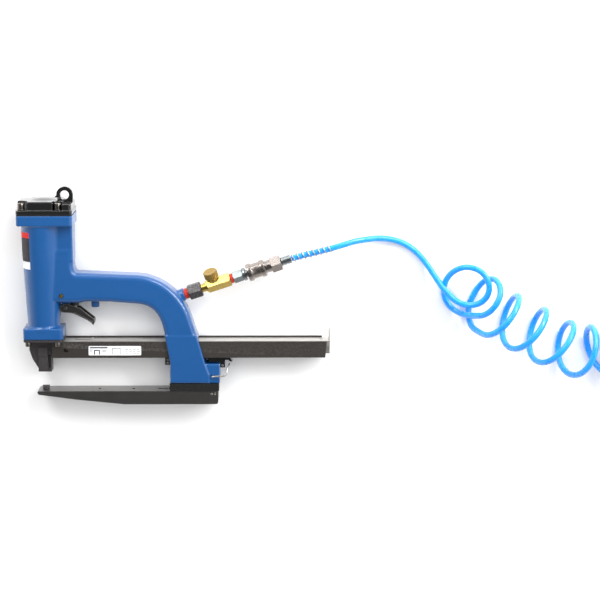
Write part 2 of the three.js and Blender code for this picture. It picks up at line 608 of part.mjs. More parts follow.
function anvilBolt([x, z]) {
  const { head, headBottom, headTop, top, shank } = ANVIL_BOLT;
  const cap = rod(head, [x, headBottom, z], [x, headTop, z], 18);
  const stem = rod(shank, [x, headTop - 0.2, z], [x, top, z], 12);
  return cut(join(cap, stem), hexRod(head, [x, 0, z], [x, headBottom + 3, z]));
}

function setScrew(x) {
  const { y, radius, inner, outer } = SET_SCREW;
  const socket = hexRod(1.5, [x, y, outer - 2.2], [x, y, outer + 1]);
  return cut(rod(radius, [x, y, inner], [x, y, outer], 10), socket);
}

// ---------- trigger ----------

function trigger() {
  const { x, y, half } = TRIGGER;
  const shape = new THREE.Shape();
  shape.moveTo(22.6, 128.6);
  shape.lineTo(22.4, 124.2);
  shape.quadraticCurveTo(22.8, 121.2, 26.6, 120.5);
  shape.lineTo(37.8, 119.6);
  shape.lineTo(44.9, 116.4);
  shape.lineTo(54.7, 111.6);
  shape.quadraticCurveTo(61, 108.4, 65.6, 103.4);
  shape.quadraticCurveTo(68.2, 107.6, 66.7, 111.8);
  shape.lineTo(57.7, 118.9);
  shape.lineTo(48.7, 126.3);
  shape.lineTo(34.5, 131);
  const hollow = polygon([
    [20, 118], [35.4, 118], [36.4, 123], [46, 118.8], [56, 113.8], [64, 109.2], [72, 118], [50, 140],
    [20, 140]]);
  const inside = half - TRIGGER.cheek;
  const ridges = [0, 1, 2, 3, 4].map((i) => {
    const place = [42 + 4.6 * i, 117.6 - 2.25 * i];
    return rod(0.7, [...place, -half - 1], [...place, half + 1], 8);
  });
  const pivot = rod(TRIGGER.pivot, [x, y, -half], [x, y, half], 20);
  const slot = block([x - 6, x + 6], [y - 2, y + 6], [-inside, inside]);
  return cut(join(across(shape, half), pivot), across(hollow, inside), slot,
    rod(HOLE.pin, [x, y, -12], [x, y, 12], 12), ...ridges);
}

// ---------- air fittings, with x along their common axis ----------

const onAxis = (x) => [x, 0, 0];
const turned = (radius, from, to, sides = 20) => rod(radius, onAxis(from), onAxis(to), sides);
const hexTurned = (flats, from, to) => hexRod(flats, onAxis(from), onAxis(to));
const sleeveTube = ({ start, end, outer, inner }, sides = 20) =>
  cut(turned(outer, start, end, sides), turned(inner, start, end, sides));

function unionNut() {
  const { start, end, flats, bore } = UNION_NUT;
  return cut(hexTurned(flats, start, end), turned(bore, start - 1, end + 1));
}

// Needle valve: a hexagon body with a collar and neck, and a short tower that carries the knob.
// The tower leans round the body's axis, from the y axis towards the z axis.
const leaning = (solid) => solid.rotate([TOWER.angle, 0, 0]);

function valveBody() {
  const { start, collar, shoulder, end, neck, collarRadius, flats, bore } = VALVE;
  const tower = rod(TOWER.radius, [KNOB.along, TOWER.bottom, 0], [KNOB.along, TOWER.top, 0], 20);
  const socket = rod(TOWER.bore, [KNOB.along, 0, 0], [KNOB.along, TOWER.top + 1, 0], 16);
  const body = join(turned(neck, start, shoulder), turned(collarRadius, collar, shoulder),
    hexTurned(flats, shoulder - 0.6, end), leaning(tower));
  return cut(body, turned(bore, start - 1, end + 1, 16), leaning(socket));
}

function valveKnob() {
  const bottom = TOWER.top + 0.4;
  const grip = rod(KNOB.radius, [KNOB.along, bottom, 0], [KNOB.along, bottom + KNOB.height, 0], 20);
  const stem = rod(TOWER.bore - 0.4, [KNOB.along, TOWER.bottom + 0.4, 0], [KNOB.along, bottom + 1, 0], 16);
  return leaning(join(grip, stem));
}

function plugNipple() {
  const { start, hexEnd, collarEnd, end, flats, collar, spigot, bore } = NIPPLE;
  return cut(join(hexTurned(flats, start, hexEnd), turned(collar, hexEnd - 0.2, collarEnd, 24),
    turned(spigot, collarEnd - 0.2, end)), turned(bore, start - 1, end + 1, 14));
}

function couplerSleeve() {
  const rings = SLEEVE.rings.map(([from, to, radius]) => turned(radius, from, to));
  return cut(join(turned(SLEEVE.radius, SLEEVE.start, SLEEVE.end), ...rings),
    turned(SLEEVE.bore, SLEEVE.start - 1, SLEEVE.end + 1));
}

function couplerBody() {
  const { start, hexStart, end, radius, flats, socket, socketEnd, bore } = COUPLER;
  return cut(join(turned(radius, start, hexStart + 0.3), hexTurned(flats, hexStart, end)),
    turned(socket, start - 1, socketEnd), turned(bore, socketEnd - 1, end + 1, 14));
}

// ---------- hose ----------

function hoseTube(points, radius, sides, steps) {
  const path = new THREE.CatmullRomCurve3(points.map((point) => new THREE.Vector3(...point)));
  const section = polygon(Array.from({ length: sides }, (_, i) => {
    const angle = (2 * Math.PI * i) / sides;
    return [radius * Math.cos(angle), radius * Math.sin(angle)];
  }));
  return toSolid(new THREE.ExtrudeGeometry(section, { steps, bevelEnabled: false, extrudePath: path }));
}

const radians = THREE.MathUtils.degToRad;
const spiralHeight = SPIRAL.outer + 0.1;
const headingVector = (degrees) =>
  new THREE.Vector2(Math.cos(radians(degrees)), Math.sin(radians(degrees)));

// Points on the spiral's axis, from the first coil to the start of the recoiled part.
function spiralAxis() {
  const bendStart = new THREE.Vector2(...SPIRAL.start.at(-1))
    .addScaledVector(headingVector(SPIRAL.heading), SPIRAL.straight);
  const centre = bendStart.clone().addScaledVector(headingVector(SPIRAL.heading + 90), SPIRAL.bendRadius);
  const bend = [0, 1, 2, 3, 4, 5, 6].map((i) => {
    const heading = SPIRAL.heading + ((SPIRAL.endHeading - SPIRAL.heading) * i) / 6;
    return centre.clone().addScaledVector(headingVector(heading - 90), SPIRAL.bendRadius).toArray();
  });
  return [...SPIRAL.start, ...bend];
}

function hosePart(points, radius, sides, steps) {
  return hoseTube(points.map(([x, y, z = spiralHeight]) => [x, y, z]), radius, sides, steps);
}

const axisPoints = spiralAxis();
const packStart = new THREE.Vector2(...axisPoints.at(-1));
const packWay = headingVector(SPIRAL.endHeading);
const tailWay = headingVector(SPIRAL.endHeading - 90);
const packPoint = (distance) =>
  [...packStart.clone().addScaledVector(packWay, distance).toArray(), spiralHeight];
const tailPoint = (distance, height) => [
  ...packStart.clone().addScaledVector(packWay, SPIRAL.recoiled - HOSE.radius)
    .addScaledVector(tailWay, distance).toArray(), height];

// Crimped ferrule, hexagon and plug on the far end of the hose.
function endPlug() {
  const { ferrule, hexEnd, collarEnd, end, flats, collar, spigot, lip } = END_PLUG;
  const at = (distance) => tailPoint(TAIL.to + GAP + distance, TAIL.lift);
  return join(rod(FERRULE.outer, at(0), at(ferrule), 20), hexRod(flats, at(ferrule - 0.4), at(hexEnd)),
    rod(collar, at(hexEnd - 0.4), at(collarEnd), 24), rod(spigot, at(collarEnd - 0.6), at(end), 20),
    rod(lip[2], at(lip[0]), at(lip[1]), 20));
}

// ---------- all parts ----------

const capBottom = HEAD.top + GAP + CAP.gasket + GAP;
const capTop = capBottom + CAP.height;
addPart(tool, 'main_housing', mainHousing(), blueEnamel);
addPart(tool, 'cap_gasket', capGasket(HEAD.top + GAP), blackRubber);
addPart(tool, 'top_cap', topCap(capBottom), blackEnamel);
capScrewPlaces.forEach((place, i) => addPart(tool, `cap_screw_${i + 1}`,
  socketScrew(place, capBottom + CAP.ledge + GAP, CAP_SCREW.headRadius, CAP_SCREW.head, CAP_SCREW.shank, 18),
  brightSteel));
addPart(tool, 'suspension_eye', suspensionEye(capTop + GAP), blackEnamel);
addPart(tool, 'head_valve', headValve(), blackPlastic);
addPart(tool, 'head_valve_spring', tube(16, 13.4, axisPoint(208.9), axisPoint(258.4), 12), brightSteel);
addPart(tool, 'cylinder_sleeve',
  tube(BORE.sleeveOuter, BORE.sleeveInner, axisPoint(BORE.bottom), axisPoint(BORE.top), 24), aluminium);
addPart(tool, 'piston', piston(), aluminium);
addPart(tool, 'piston_o_ring', tube(PISTON.radius, PISTON.radius - 2, axisPoint(172.4), axisPoint(175.2), 24),
  blackRubber);
addPart(tool, 'driver_blade', block([HEAD.axis - BLADE.thickness / 2, HEAD.axis + BLADE.thickness / 2],
  [BLADE.bottom, BLADE.top], [-BLADE.width / 2, BLADE.width / 2]), brightSteel);
addPart(tool, 'bumper', bumper(), blackRubber);
addPart(tool, 'nose_base_plate', noseBasePlate(), darkSteel);
addPart(tool, 'nose_body', noseBody(), darkSteel);
noseScrewPlaces.forEach((place, i) => addPart(tool, `nose_screw_${i + 1}`, noseScrew(place), brightSteel));
addPart(tool, 'magazine_channel', magazineChannel(), darkSteel);
addPart(tool, 'magazine_rail', magazineRail(), brightSteel);
addPart(tool, 'staple_strip', stapleStrip(), brightSteel);
addPart(tool, 'pusher', pusher(), darkSteel);
addPart(tool, 'pusher_spring', rod(3.2, [PUSHER.right + 1, 72, 0], [362, 72, 0], 10), brightSteel);
addPart(tool, 'magazine_bracket', magazineBracket(), blackEnamel);
BRACKET.screws.forEach((place, i) =>
  addPart(tool, `bracket_screw_${i + 1}`, smallScrew(place, 3.4, 7.3), brightSteel));
addPart(tool, 'latch_pin', rod(LATCH.pinRadius, [...LATCH.pin, 3.6], [...LATCH.pin, 9], 14), brightSteel);
addPart(tool, 'latch_wire', latchWire(), brightSteel);
addPart(tool, 'foot_block', footBlock(), blackEnamel);
addPart(tool, 'anvil_arm', anvilArm(), darkSteel);
addPart(tool, 'clinch_button', clinchButton(), darkSteel);
boltPlaces.forEach((place, i) => addPart(tool, `anvil_bolt_${i + 1}`, anvilBolt(place), darkSteel));
SET_SCREW.places.forEach((x, i) => addPart(tool, `set_screw_${i + 1}`, setScrew(x), brightSteel));
addPart(tool, 'trigger', trigger(), blackPlastic);
addPart(tool, 'trigger_pin',
  rod(1.6, [TRIGGER.x, TRIGGER.y, -9.2], [TRIGGER.x, TRIGGER.y, 9.2], 14), brightSteel);
addPart(tool, 'trigger_valve_body', tube(TRIGGER_VALVE.radius, 2.4,
  [TRIGGER_VALVE.x, TRIGGER_VALVE.bottom, 0], [TRIGGER_VALVE.x, TRIGGER_VALVE.top, 0], 20), blackPlastic);
addPart(tool, 'trigger_valve_stem', rod(TRIGGER_VALVE.stem, [TRIGGER_VALVE.x, 122.2, 0],
  [TRIGGER_VALVE.x, 152, 0], 16), brightSteel);
addPart(tool, 'trigger_valve_spring', rod(3, [TRIGGER_VALVE.x, 152.4, 0], [TRIGGER_VALVE.x, 162, 0], 12),
  brightSteel);
addPart(tool, 'air_passage_plug', rod(AIR_PLUG.radius, [AIR_PLUG.x, AIR_PLUG.y, AIR_PLUG.inner],
  [AIR_PLUG.x, AIR_PLUG.y, AIR_PLUG.outer], 16), brass);

addPart(fittings, 'inlet_seal', sleeveTube(SEAL), redRubber);
addPart(fittings, 'union_nut', unionNut(), darkSteel);
addPart(fittings, 'shutoff_valve_body', valveBody(), brass);
addPart(fittings, 'shutoff_valve_knob', valveKnob(), brass);
addPart(fittings, 'nipple_seal', sleeveTube(NIPPLE_SEAL), redRubber);
addPart(fittings, 'plug_nipple', plugNipple(), zinc);
addPart(fittings, 'coupler_sleeve', couplerSleeve(), nickel);
addPart(fittings, 'coupler_body', couplerBody(), nickel);
addPart(fittings, 'hose_ferrule', sleeveTube(FERRULE, 24), zinc);
guardGroup.position.set(HOSE.guardStart, 0, 0);
guardGroup.rotation.z = THREE.MathUtils.degToRad(HOSE.guardAngle);
addPart(guardGroup, 'hose_guard', tube(5.9, 4.75, onAxis(0), onAxis(HOSE.guardLength), 16), zinc);

addPart(hose, 'hose_lead', hosePart(HOSE_LEAD, HOSE.radius, 10, 14), bluePolyurethane);
addPart(hose, 'hose_spiral', hosePart(axisPoints, SPIRAL.outer, 12, 12), bluePolyurethane);
addPart(hose, 'hose_pack', rod(SPIRAL.outer, packPoint(SPIRAL.packGap), packPoint(SPIRAL.recoiled), 16),
  bluePolyurethane);
addPart(hose, 'hose_tail', hosePart([tailPoint(TAIL.from, HOSE.radius + 0.3),
  tailPoint(TAIL.from + 22, HOSE.radius + 0.8), tailPoint(TAIL.to - 12, TAIL.lift - 0.6),
  tailPoint(TAIL.to, TAIL.lift)], HOSE.radius, 10, 4), bluePolyurethane);
addPart(hose, 'hose_end_plug', endPlug(), zinc);

// The origin is the middle of the tool's own box, on the table.
const toolBox = new THREE.Box3().setFromObject(tool, true);
const middle = toolBox.getCenter(new THREE.Vector3());
tool.position.set(-middle.x, -middle.y, -toolBox.min.z);
object.updateMatrixWorld(true);
const ferruleEnd = fittings.localToWorld(new THREE.Vector3(...onAxis(FERRULE.end + GAP)));
hose.position.set(ferruleEnd.x, ferruleEnd.y, 0);

export default object;
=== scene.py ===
import json
import math

import bmesh
import bpy
import numpy as np
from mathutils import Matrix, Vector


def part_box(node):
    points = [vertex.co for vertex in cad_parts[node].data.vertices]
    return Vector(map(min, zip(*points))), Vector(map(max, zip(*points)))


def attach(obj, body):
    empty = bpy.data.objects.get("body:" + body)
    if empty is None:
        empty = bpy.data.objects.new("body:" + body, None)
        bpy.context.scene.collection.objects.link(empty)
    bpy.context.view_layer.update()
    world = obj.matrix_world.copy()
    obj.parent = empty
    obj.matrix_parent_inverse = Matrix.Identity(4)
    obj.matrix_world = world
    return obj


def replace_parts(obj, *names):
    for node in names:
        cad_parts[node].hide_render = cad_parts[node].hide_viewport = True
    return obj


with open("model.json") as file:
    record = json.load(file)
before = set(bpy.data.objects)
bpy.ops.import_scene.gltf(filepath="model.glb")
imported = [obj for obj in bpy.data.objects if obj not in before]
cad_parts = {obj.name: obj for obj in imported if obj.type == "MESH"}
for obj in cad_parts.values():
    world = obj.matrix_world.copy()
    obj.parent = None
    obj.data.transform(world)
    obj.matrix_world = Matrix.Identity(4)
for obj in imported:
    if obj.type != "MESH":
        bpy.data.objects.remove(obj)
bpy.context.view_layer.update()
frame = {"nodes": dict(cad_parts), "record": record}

import openvdb
from mathutils import Matrix, Vector

# Looks of a pneumatic clinching stapler that lies on its side, with its air fittings and spiral hose.
# The row frame is in metres. Tool pieces are drawn in millimetres in the tool's own axes:
# x along the magazine, y up the head and z across the tool. Fitting pieces have x along the fittings.

nodes = frame["nodes"]
MM = 0.001

# ---------- the tool's axes in the row frame ----------

LEAN_X = math.radians(2.496)
LEAN_Y = math.radians(0.534)
FOOT_CENTRE = (196.2, 22.8, 0.0)
INLET = (184.0, 142.9)
INLET_ANGLE = math.radians(18.7)


def tool_axes():
    """The tool's axes, found from its lean and from where the foot block lies."""
    turn = Matrix.Rotation(LEAN_Y, 4, "Y") @ Matrix.Rotation(LEAN_X, 4, "X")
    low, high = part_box("foot_block")
    return Matrix.Translation((low + high) / 2 - turn @ (Vector(FOOT_CENTRE) * MM)) @ turn


TOOL = tool_axes()
FITTINGS = TOOL @ Matrix.Translation((INLET[0] * MM, INLET[1] * MM, 0)) @ Matrix.Rotation(INLET_ANGLE, 4, "Z")
FERRULE_END = 145.9
HOSE_EXIT = (FITTINGS @ Vector((FERRULE_END * MM, 0, 0))).xy.to_3d()

# ---------- camera, floor and light ----------

VIEW_TARGET = HOSE_EXIT + Vector((0.011474, -0.054637, 0.0212))
VIEW_DISTANCE = 2.4
VIEW_TILT = math.radians(8.1)
LENS = 110.8
ZENITH = 0.1
HORIZON = 1.0


def make_camera():
    camera = bpy.data.objects.new("camera", bpy.data.cameras.new("camera"))
    bpy.context.scene.collection.objects.link(camera)
    camera.data.lens = LENS
    camera.data.sensor_width = 36
    camera.data.clip_end = 20
    away = Vector((0, math.sin(VIEW_TILT), math.cos(VIEW_TILT)))
    up = Vector((0, math.cos(VIEW_TILT), -math.sin(VIEW_TILT)))
    side = up.cross(away)
    turn = Matrix((side, up, away)).transposed().to_4x4()
    camera.matrix_world = Matrix.Translation(VIEW_TARGET + away * VIEW_DISTANCE) @ turn
    bpy.context.scene.camera = camera


def area_light(name, place, aim, size, power):
    light = bpy.data.lights.new(name, "AREA")
    light.shape = "RECTANGLE"
    light.size, light.size_y = size
    light.energy = power
    lamp = bpy.data.objects.new(name, light)
    lamp.location = place
    lamp.rotation_mode = "QUATERNION"
    lamp.rotation_quaternion = (Vector(aim) - Vector(place)).to_track_quat("-Z", "Y")
    bpy.context.scene.collection.objects.link(lamp)
    return lamp


def make_studio():
    scene = bpy.context.scene
    scene.view_settings.view_transform = "Standard"
    world = bpy.data.worlds.new("studio")
    world.use_nodes = True
    tree = world.node_tree
    background = tree.nodes["Background"]
    way = tree.nodes.new("ShaderNodeTexCoord")
    split = tree.nodes.new("ShaderNodeSeparateXYZ")
    fade = tree.nodes.new("ShaderNodeMapRange")
    fade.interpolation_type = "SMOOTHSTEP"
    for key, number in zip(("From Min", "From Max", "To Min", "To Max"), (0.05, 0.85, HORIZON, ZENITH)):
        fade.inputs[key].default_value = number
    tree.links.new(way.outputs["Generated"], split.inputs[0])
    tree.links.new(split.outputs["Z"], fade.inputs["Value"])
    tree.links.new(fade.outputs["Result"], background.inputs["Strength"])
    background.inputs["Color"].default_value = (1, 1, 1, 1)
    scene.world = world
    area_light("key", (-0.9, 1.25, 1.3), (0.1, 0, 0), (0.8, 0.8), 15)
    area_light("fill", (1.3, 0.3, 1.5), (0.2, 0, 0), (1.2, 1.2), 6)
    area_light("strip", (0.0, 1.1, 0.42), (0.05, 0, 0.02), (1.6, 0.16), 4)
    area_light("edge", (1.05, 0.95, 0.9), (0, 0.03, 0), (1.7, 0.07), 30)
    overhead = area_light("overhead", (0.1, 0.2, 2.2), (0.1, 0, 0), (3.2, 3.2), 37)
    overhead.visible_glossy = False
    bpy.ops.mesh.primitive_plane_add(size=12)
    floor = bpy.context.object
    floor.name = "floor"
    paper = bpy.data.materials.new("paper_sweep")
    paper.use_nodes = True
    paper.node_tree.nodes["Principled BSDF"].inputs["Base Color"].default_value = (0.95, 0.95, 0.95, 1)
    paper.node_tree.nodes["Principled BSDF"].inputs["Roughness"].default_value = 0.9
    floor.data.materials.append(paper)


make_camera()
make_studio()

# ---------- materials ----------


class Shader:
    """A node material with a principled shader, and short ways to wire its inputs."""

    def __init__(self, name, colour, roughness, metallic=0.0, coat=0.0):
        self.material = bpy.data.materials.new(name)
        self.material.use_nodes = True
        self.tree = self.material.node_tree
        self.shader = self.tree.nodes["Principled BSDF"]
        base = self.tree.nodes.new("ShaderNodeRGB")
        base.outputs[0].default_value = (*colour, 1)
        self.colour = base.outputs[0]
        self.set("Roughness", roughness)
        self.set("Metallic", metallic)
        self.set("Coat Weight", coat)
        self.set("Coat Roughness", 0.06)
        self.place = self.tree.nodes.new("ShaderNodeTexCoord").outputs["Object"]

    def set(self, name, value):
        self.shader.inputs[name].default_value = value

    def link(self, source, target):
        self.tree.links.new(source, target)

    def noise(self, scale, detail=3.0, stretch=(1, 1, 1)):
        mapping = self.tree.nodes.new("ShaderNodeMapping")
        mapping.inputs["Scale"].default_value = stretch
        self.link(self.place, mapping.inputs["Vector"])
        texture = self.tree.nodes.new("ShaderNodeTexNoise")
        texture.inputs["Scale"].default_value = scale
        texture.inputs["Detail"].default_value = detail
        texture.inputs["Roughness"].default_value = 0.55
        self.link(mapping.outputs["Vector"], texture.inputs["Vector"])
        return texture.outputs["Fac"]

    def remap(self, source, low, high, to_low, to_high):
        node = self.tree.nodes.new("ShaderNodeMapRange")
        for key, number in zip(("From Min", "From Max", "To Min", "To Max"), (low, high, to_low, to_high)):
            node.inputs[key].default_value = number
        self.link(source, node.inputs["Value"])
        return node.outputs["Result"]

    def blend(self, share, colour):
        """Mixes another colour into the base colour by share, a node output from 0 to 1."""
        node = self.tree.nodes.new("ShaderNodeMix")
        node.data_type = "RGBA"
        self.link(share, node.inputs["Factor"])
        self.link(self.colour, node.inputs["A"])
        node.inputs["B"].default_value = (*colour, 1)
        self.colour = node.outputs["Result"]

    def edges(self, low=0.52, high=0.6):
        """A share that grows on the sharp outer edges."""
        geometry = self.tree.nodes.new("ShaderNodeNewGeometry")
        return self.remap(geometry.outputs["Pointiness"], low, high, 0, 1)

    def times(self, a, b):
        node = self.tree.nodes.new("ShaderNodeMath")
        node.operation = "MULTIPLY"
        self.link(a, node.inputs[0])
        self.link(b, node.inputs[1])
        return node.outputs[0]

    def rough(self, source, low, high):
        self.link(self.remap(source, 0.3, 0.7, low, high), self.shader.inputs["Roughness"])

    def bump(self, source, depth, strength=1.0):
        node = self.tree.nodes.new("ShaderNodeBump")
        node.inputs["Distance"].default_value = depth
        node.inputs["Strength"].default_value = strength
        self.link(source, node.inputs["Height"])
        if self.shader.inputs["Normal"].is_linked:
            self.link(self.shader.inputs["Normal"].links[0].from_socket, node.inputs["Normal"])
        self.link(node.outputs["Normal"], self.shader.inputs["Normal"])

    def done(self):
        self.link(self.colour, self.shader.inputs["Base Color"])
        return self.material


def enamel(name, colour, lighter, darker, roughness):
    """Sprayed enamel: faint orange peel, slow shade drift and thin paint on the edges."""
    paint = Shader(name, colour, roughness, coat=0.6)
    drift = paint.noise(26, 2)
    paint.blend(paint.remap(drift, 0.35, 0.7, 0, 0.3), darker)
    speck = paint.noise(700, 2)
    paint.blend(paint.times(paint.edges(0.53, 0.62), paint.remap(speck, 0.35, 0.6, 0.1, 0.45)), lighter)
    paint.rough(paint.noise(120, 3), roughness - 0.04, roughness + 0.06)
    paint.bump(paint.noise(420, 2), 0.00001, 0.5)
    return paint.done()


def steel(name, colour, roughness, grain=(1, 30, 30), metallic=1.0, stain=None, scale=60, worn=None):
    """Metal with fine lines along one way, uneven sheen, dull patches and rubbed edges."""
    metal = Shader(name, colour, roughness, metallic)
    lines = metal.noise(scale, 4, grain)
    metal.rough(lines, roughness - 0.05, roughness + 0.08)
    dull = stain or tuple(0.6 * c for c in colour)
    metal.blend(metal.remap(metal.noise(45, 3), 0.5, 0.8, 0, 0.35), dull)
    metal.blend(metal.remap(lines, 0.5, 0.8, 0, 0.25), tuple(0.75 * c for c in colour))
    if worn:
        wear_and_highlight = metal.remap(metal.noise(500, 2), 0.4, 0.7, 0, 0.7)
        metal.blend(metal.times(metal.edges(0.53, 0.62), wear_and_highlight), worn)
    metal.bump(lines, 0.000006, 0.5)
    return metal.done()


def moulded(name, colour, roughness, pebble=900, depth=0.00003, wear_and_highlight=None):
    """Moulded plastic or rubber with a fine pebbled skin, and sharp edges that may be painted pale as a
    highlight.
    """
    plastic = Shader(name, colour, roughness)
    if wear_and_highlight:
        # Painted highlight: the sharp edges are lightened towards this pale colour to stand in for light
        # catching them.
        plastic.blend(plastic.edges(0.51, 0.57), wear_and_highlight)
    else:
        plastic.blend(plastic.remap(plastic.noise(60, 3), 0.45, 0.75, 0, 0.5), tuple(1.7 * c for c in colour))
    plastic.rough(plastic.noise(200, 3), roughness - 0.08, roughness + 0.1)
    plastic.bump(plastic.noise(pebble, 2), depth, 0.8)
    return plastic.done()


def thread_sealed(name, colour):
    """Red sealing tape wound on a thread: fine wraps and torn edges."""
    tape = Shader(name, colour, 0.42)
    tape.blend(tape.remap(tape.noise(220, 4, (1, 0.4, 0.4)), 0.45, 0.7, 0, 0.7), (0.32, 0.02, 0.015))
    tape.blend(tape.remap(tape.noise(500, 3), 0.62, 0.8, 0, 0.5), (0.85, 0.35, 0.28))
    tape.bump(tape.noise(420, 4, (1, 0.3, 0.3)), 0.0002, 0.7)
    return tape.done()


def hose_skin(name, colour):
    """Smooth translucent polyurethane tube with a slightly milky depth."""
    skin = Shader(name, colour, 0.3, coat=0.5)
    skin.set("Subsurface Weight", 0.25)
    skin.set("Subsurface Radius", (0.0008, 0.0016, 0.003))
    skin.set("Subsurface Scale", 1.0)
    skin.blend(skin.remap(skin.noise(40, 3), 0.4, 0.75, 0, 0.4), (0.004, 0.2, 0.66))
    skin.rough(skin.noise(150, 2), 0.24, 0.36)
    skin.bump(skin.noise(500, 2), 0.00003, 0.4)
    return skin.done()


BLUE_ENAMEL = enamel("blue_enamel", (0.004, 0.076, 0.255), (0.025, 0.12, 0.34), (0.003, 0.064, 0.22), 0.33)
BLACK_ENAMEL = enamel("black_enamel", (0.009, 0.0095, 0.0095), (0.04, 0.04, 0.04), (0.006, 0.006, 0.006),
                      0.16)
SATIN_DARK = steel("satin_dark_steel", (0.042, 0.037, 0.033), 0.42, (1, 40, 40), 0.35, (0.03, 0.027, 0.025),
                   worn=(0.16, 0.15, 0.14))
DARK_STEEL = steel("dark_steel", (0.06, 0.055, 0.057), 0.4, (6, 6, 6), 0.45, (0.04, 0.037, 0.038), 140,
                   worn=(0.2, 0.19, 0.18))
BRIGHT_STEEL = steel("bright_steel", (0.6, 0.57, 0.53), 0.3, (1, 25, 25))
ZINC = steel("zinc", (0.3, 0.33, 0.34), 0.32, (4, 4, 4), stain=(0.17, 0.18, 0.17), scale=110)
NICKEL = steel("nickel", (0.36, 0.32, 0.295), 0.26, (2, 20, 20), stain=(0.22, 0.19, 0.165))
BRASS = steel("brass", (0.62, 0.44, 0.12), 0.28, (4, 12, 12), stain=(0.4, 0.25, 0.05), worn=(0.85, 0.7, 0.35))
ALUMINIUM = steel("aluminium", (0.62, 0.62, 0.63), 0.36, (2, 18, 18))
BLACK_PLASTIC = moulded("black_plastic", (0.028, 0.026, 0.026), 0.45)
# The trigger's pale edge colour is a painted highlight on its ridges and sharp edges.
TRIGGER_PLASTIC = moulded("trigger_plastic", (0.014, 0.013, 0.013), 0.38, 900, 0.00002, (0.2, 0.19, 0.18))
BLACK_RUBBER = moulded("black_rubber", (0.012, 0.012, 0.012), 0.72)
RED_SEAL = thread_sealed("red_sealant", (0.66, 0.05, 0.03))
HOSE_BLUE = hose_skin("blue_polyurethane", (0.012, 0.33, 0.93))
SCREW_STEEL = steel("screw_steel", (0.24, 0.22, 0.2), 0.3, (6, 6, 6), 1.0, (0.1, 0.09, 0.08), 120)
NUT_STEEL = steel("nut_steel", (0.045, 0.042, 0.045), 0.36, (5, 5, 5), 0.6, (0.025, 0.025, 0.025), 130,
                  worn=(0.3, 0.29, 0.28))
KNOB_BRASS = steel("knob_brass", (0.42, 0.28, 0.085), 0.36, (4, 12, 12), stain=(0.4, 0.26, 0.08),
                   worn=(0.9, 0.75, 0.4))
ANVIL_STEEL = steel("anvil_steel", (0.27, 0.26, 0.255), 0.34, (1, 30, 30), 1.0, (0.18, 0.17, 0.165),
                    worn=(0.4, 0.39, 0.37))
COVER_STEEL = steel("cover_steel", (0.55, 0.53, 0.5), 0.38, (1, 30, 30), 0.8, (0.44, 0.42, 0.4))
LABEL_FILM = moulded("label_film", (0.78, 0.79, 0.8), 0.35, 300, 0.00001)
LABEL_INK = moulded("label_ink", (0.015, 0.015, 0.017), 0.55, 300, 0.00001)
LABEL_GREY = moulded("label_grey", (0.3, 0.31, 0.33), 0.4, 300, 0.00001)
LABEL_RED = moulded("label_red", (0.68, 0.012, 0.005), 0.6, 300, 0.00001)
DECAL_GREY = moulded("decal_grey", (0.03, 0.024, 0.027), 0.6, 300, 0.00001)
# What the CAD nodes that stay are dressed in, by their slot, and the two that differ from their slot.
SLOT_MATERIALS = {
    "black_enamel": BLACK_ENAMEL, "satin_dark_steel": SATIN_DARK, "dark_steel": DARK_STEEL,
    "bright_steel": BRIGHT_STEEL, "zinc": ZINC, "aluminium": ALUMINIUM, "black_plastic": BLACK_PLASTIC,
    "black_rubber": BLACK_RUBBER,
}
OWN_MATERIALS = {"anvil_arm": ANVIL_STEEL, "magazine_rail": COVER_STEEL}

# ---------- making pieces ----------


def new_piece(name, points, faces, axes, body, material, replaces=(), smooth=True):
    """A mesh piece drawn in millimetres in the given axes, riding on a body."""
    mesh = bpy.data.meshes.new(name)
    mesh.from_pydata([axes @ (MM * Vector(p)) for p in points], [], faces)
    mesh.update()
    mesh.polygons.foreach_set("use_smooth", [smooth] * len(mesh.polygons))
    piece = bpy.data.objects.new(name, mesh)
    bpy.context.scene.collection.objects.link(piece)
    finish_piece(piece, body, material, replaces)
    return piece


def finish_piece(piece, body, material, replaces=()):
    piece.data.materials.clear()
    piece.data.materials.append(material)
    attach(piece, body)
    if replaces:
        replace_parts(piece, *replaces)


# Signed distances in millimetres: negative inside. They work on any numpy arrays that fit together.


def smooth_join(a, b, radius):
    share = np.clip(0.5 + 0.5 * (b - a) / radius, 0, 1)
    return b + (a - b) * share - radius * share * (1 - share)


def smooth_cut(a, b, radius):
    return -smooth_join(-a, b, radius)


def slab(flat, across, half, edge=0.0):
    """A flat outline's distance, given a thickness of 2 * half and edges rounded by edge."""
    u = flat + edge
    w = np.abs(across) - half + edge
    return np.minimum(np.maximum(u, w), 0) + np.hypot(np.maximum(u, 0), np.maximum(w, 0)) - edge


def outline(points, x, y):
    """The distance in a plane to a closed outline."""
    x, y = np.broadcast_arrays(x, y)
    nearest = np.full(x.shape, 1e9)
    inside = np.zeros(x.shape, bool)
    for (ax, ay), (bx, by) in zip(points, points[1:] + points[:1]):
        ex, ey = bx - ax, by - ay
        along = np.clip(((x - ax) * ex + (y - ay) * ey) / (ex * ex + ey * ey), 0, 1)
        nearest = np.minimum(nearest, (x - ax - along * ex) ** 2 + (y - ay - along * ey) ** 2)
        if ay != by:
            inside ^= ((ay > y) != (by > y)) & (x < ax + (y - ay) * ex / ey)
    return np.where(inside, -1, 1) * np.sqrt(nearest)


def bezier(p0, p1, p2, p3, steps=14):
    """Points of a cubic curve after p0, up to and with p3."""
    found = []
    for i in range(1, steps + 1):
        t = i / steps
        weights = ((1 - t) ** 3, 3 * t * (1 - t) ** 2, 3 * t * t * (1 - t), t ** 3)
        found.append(tuple(sum(w * p[k] for w, p in zip(weights, (p0, p1, p2, p3))) for k in (0, 1)))
    return found


def box_flat(x, z, centre, half, corner):
    """The distance in a plane to a rounded rectangle."""
    qx = np.abs(x - centre[0]) - half[0] + corner
    qz = np.abs(z - centre[1]) - half[1] + corner
    return np.minimum(np.maximum(qx, qz), 0) + np.hypot(np.maximum(qx, 0), np.maximum(qz, 0)) - corner


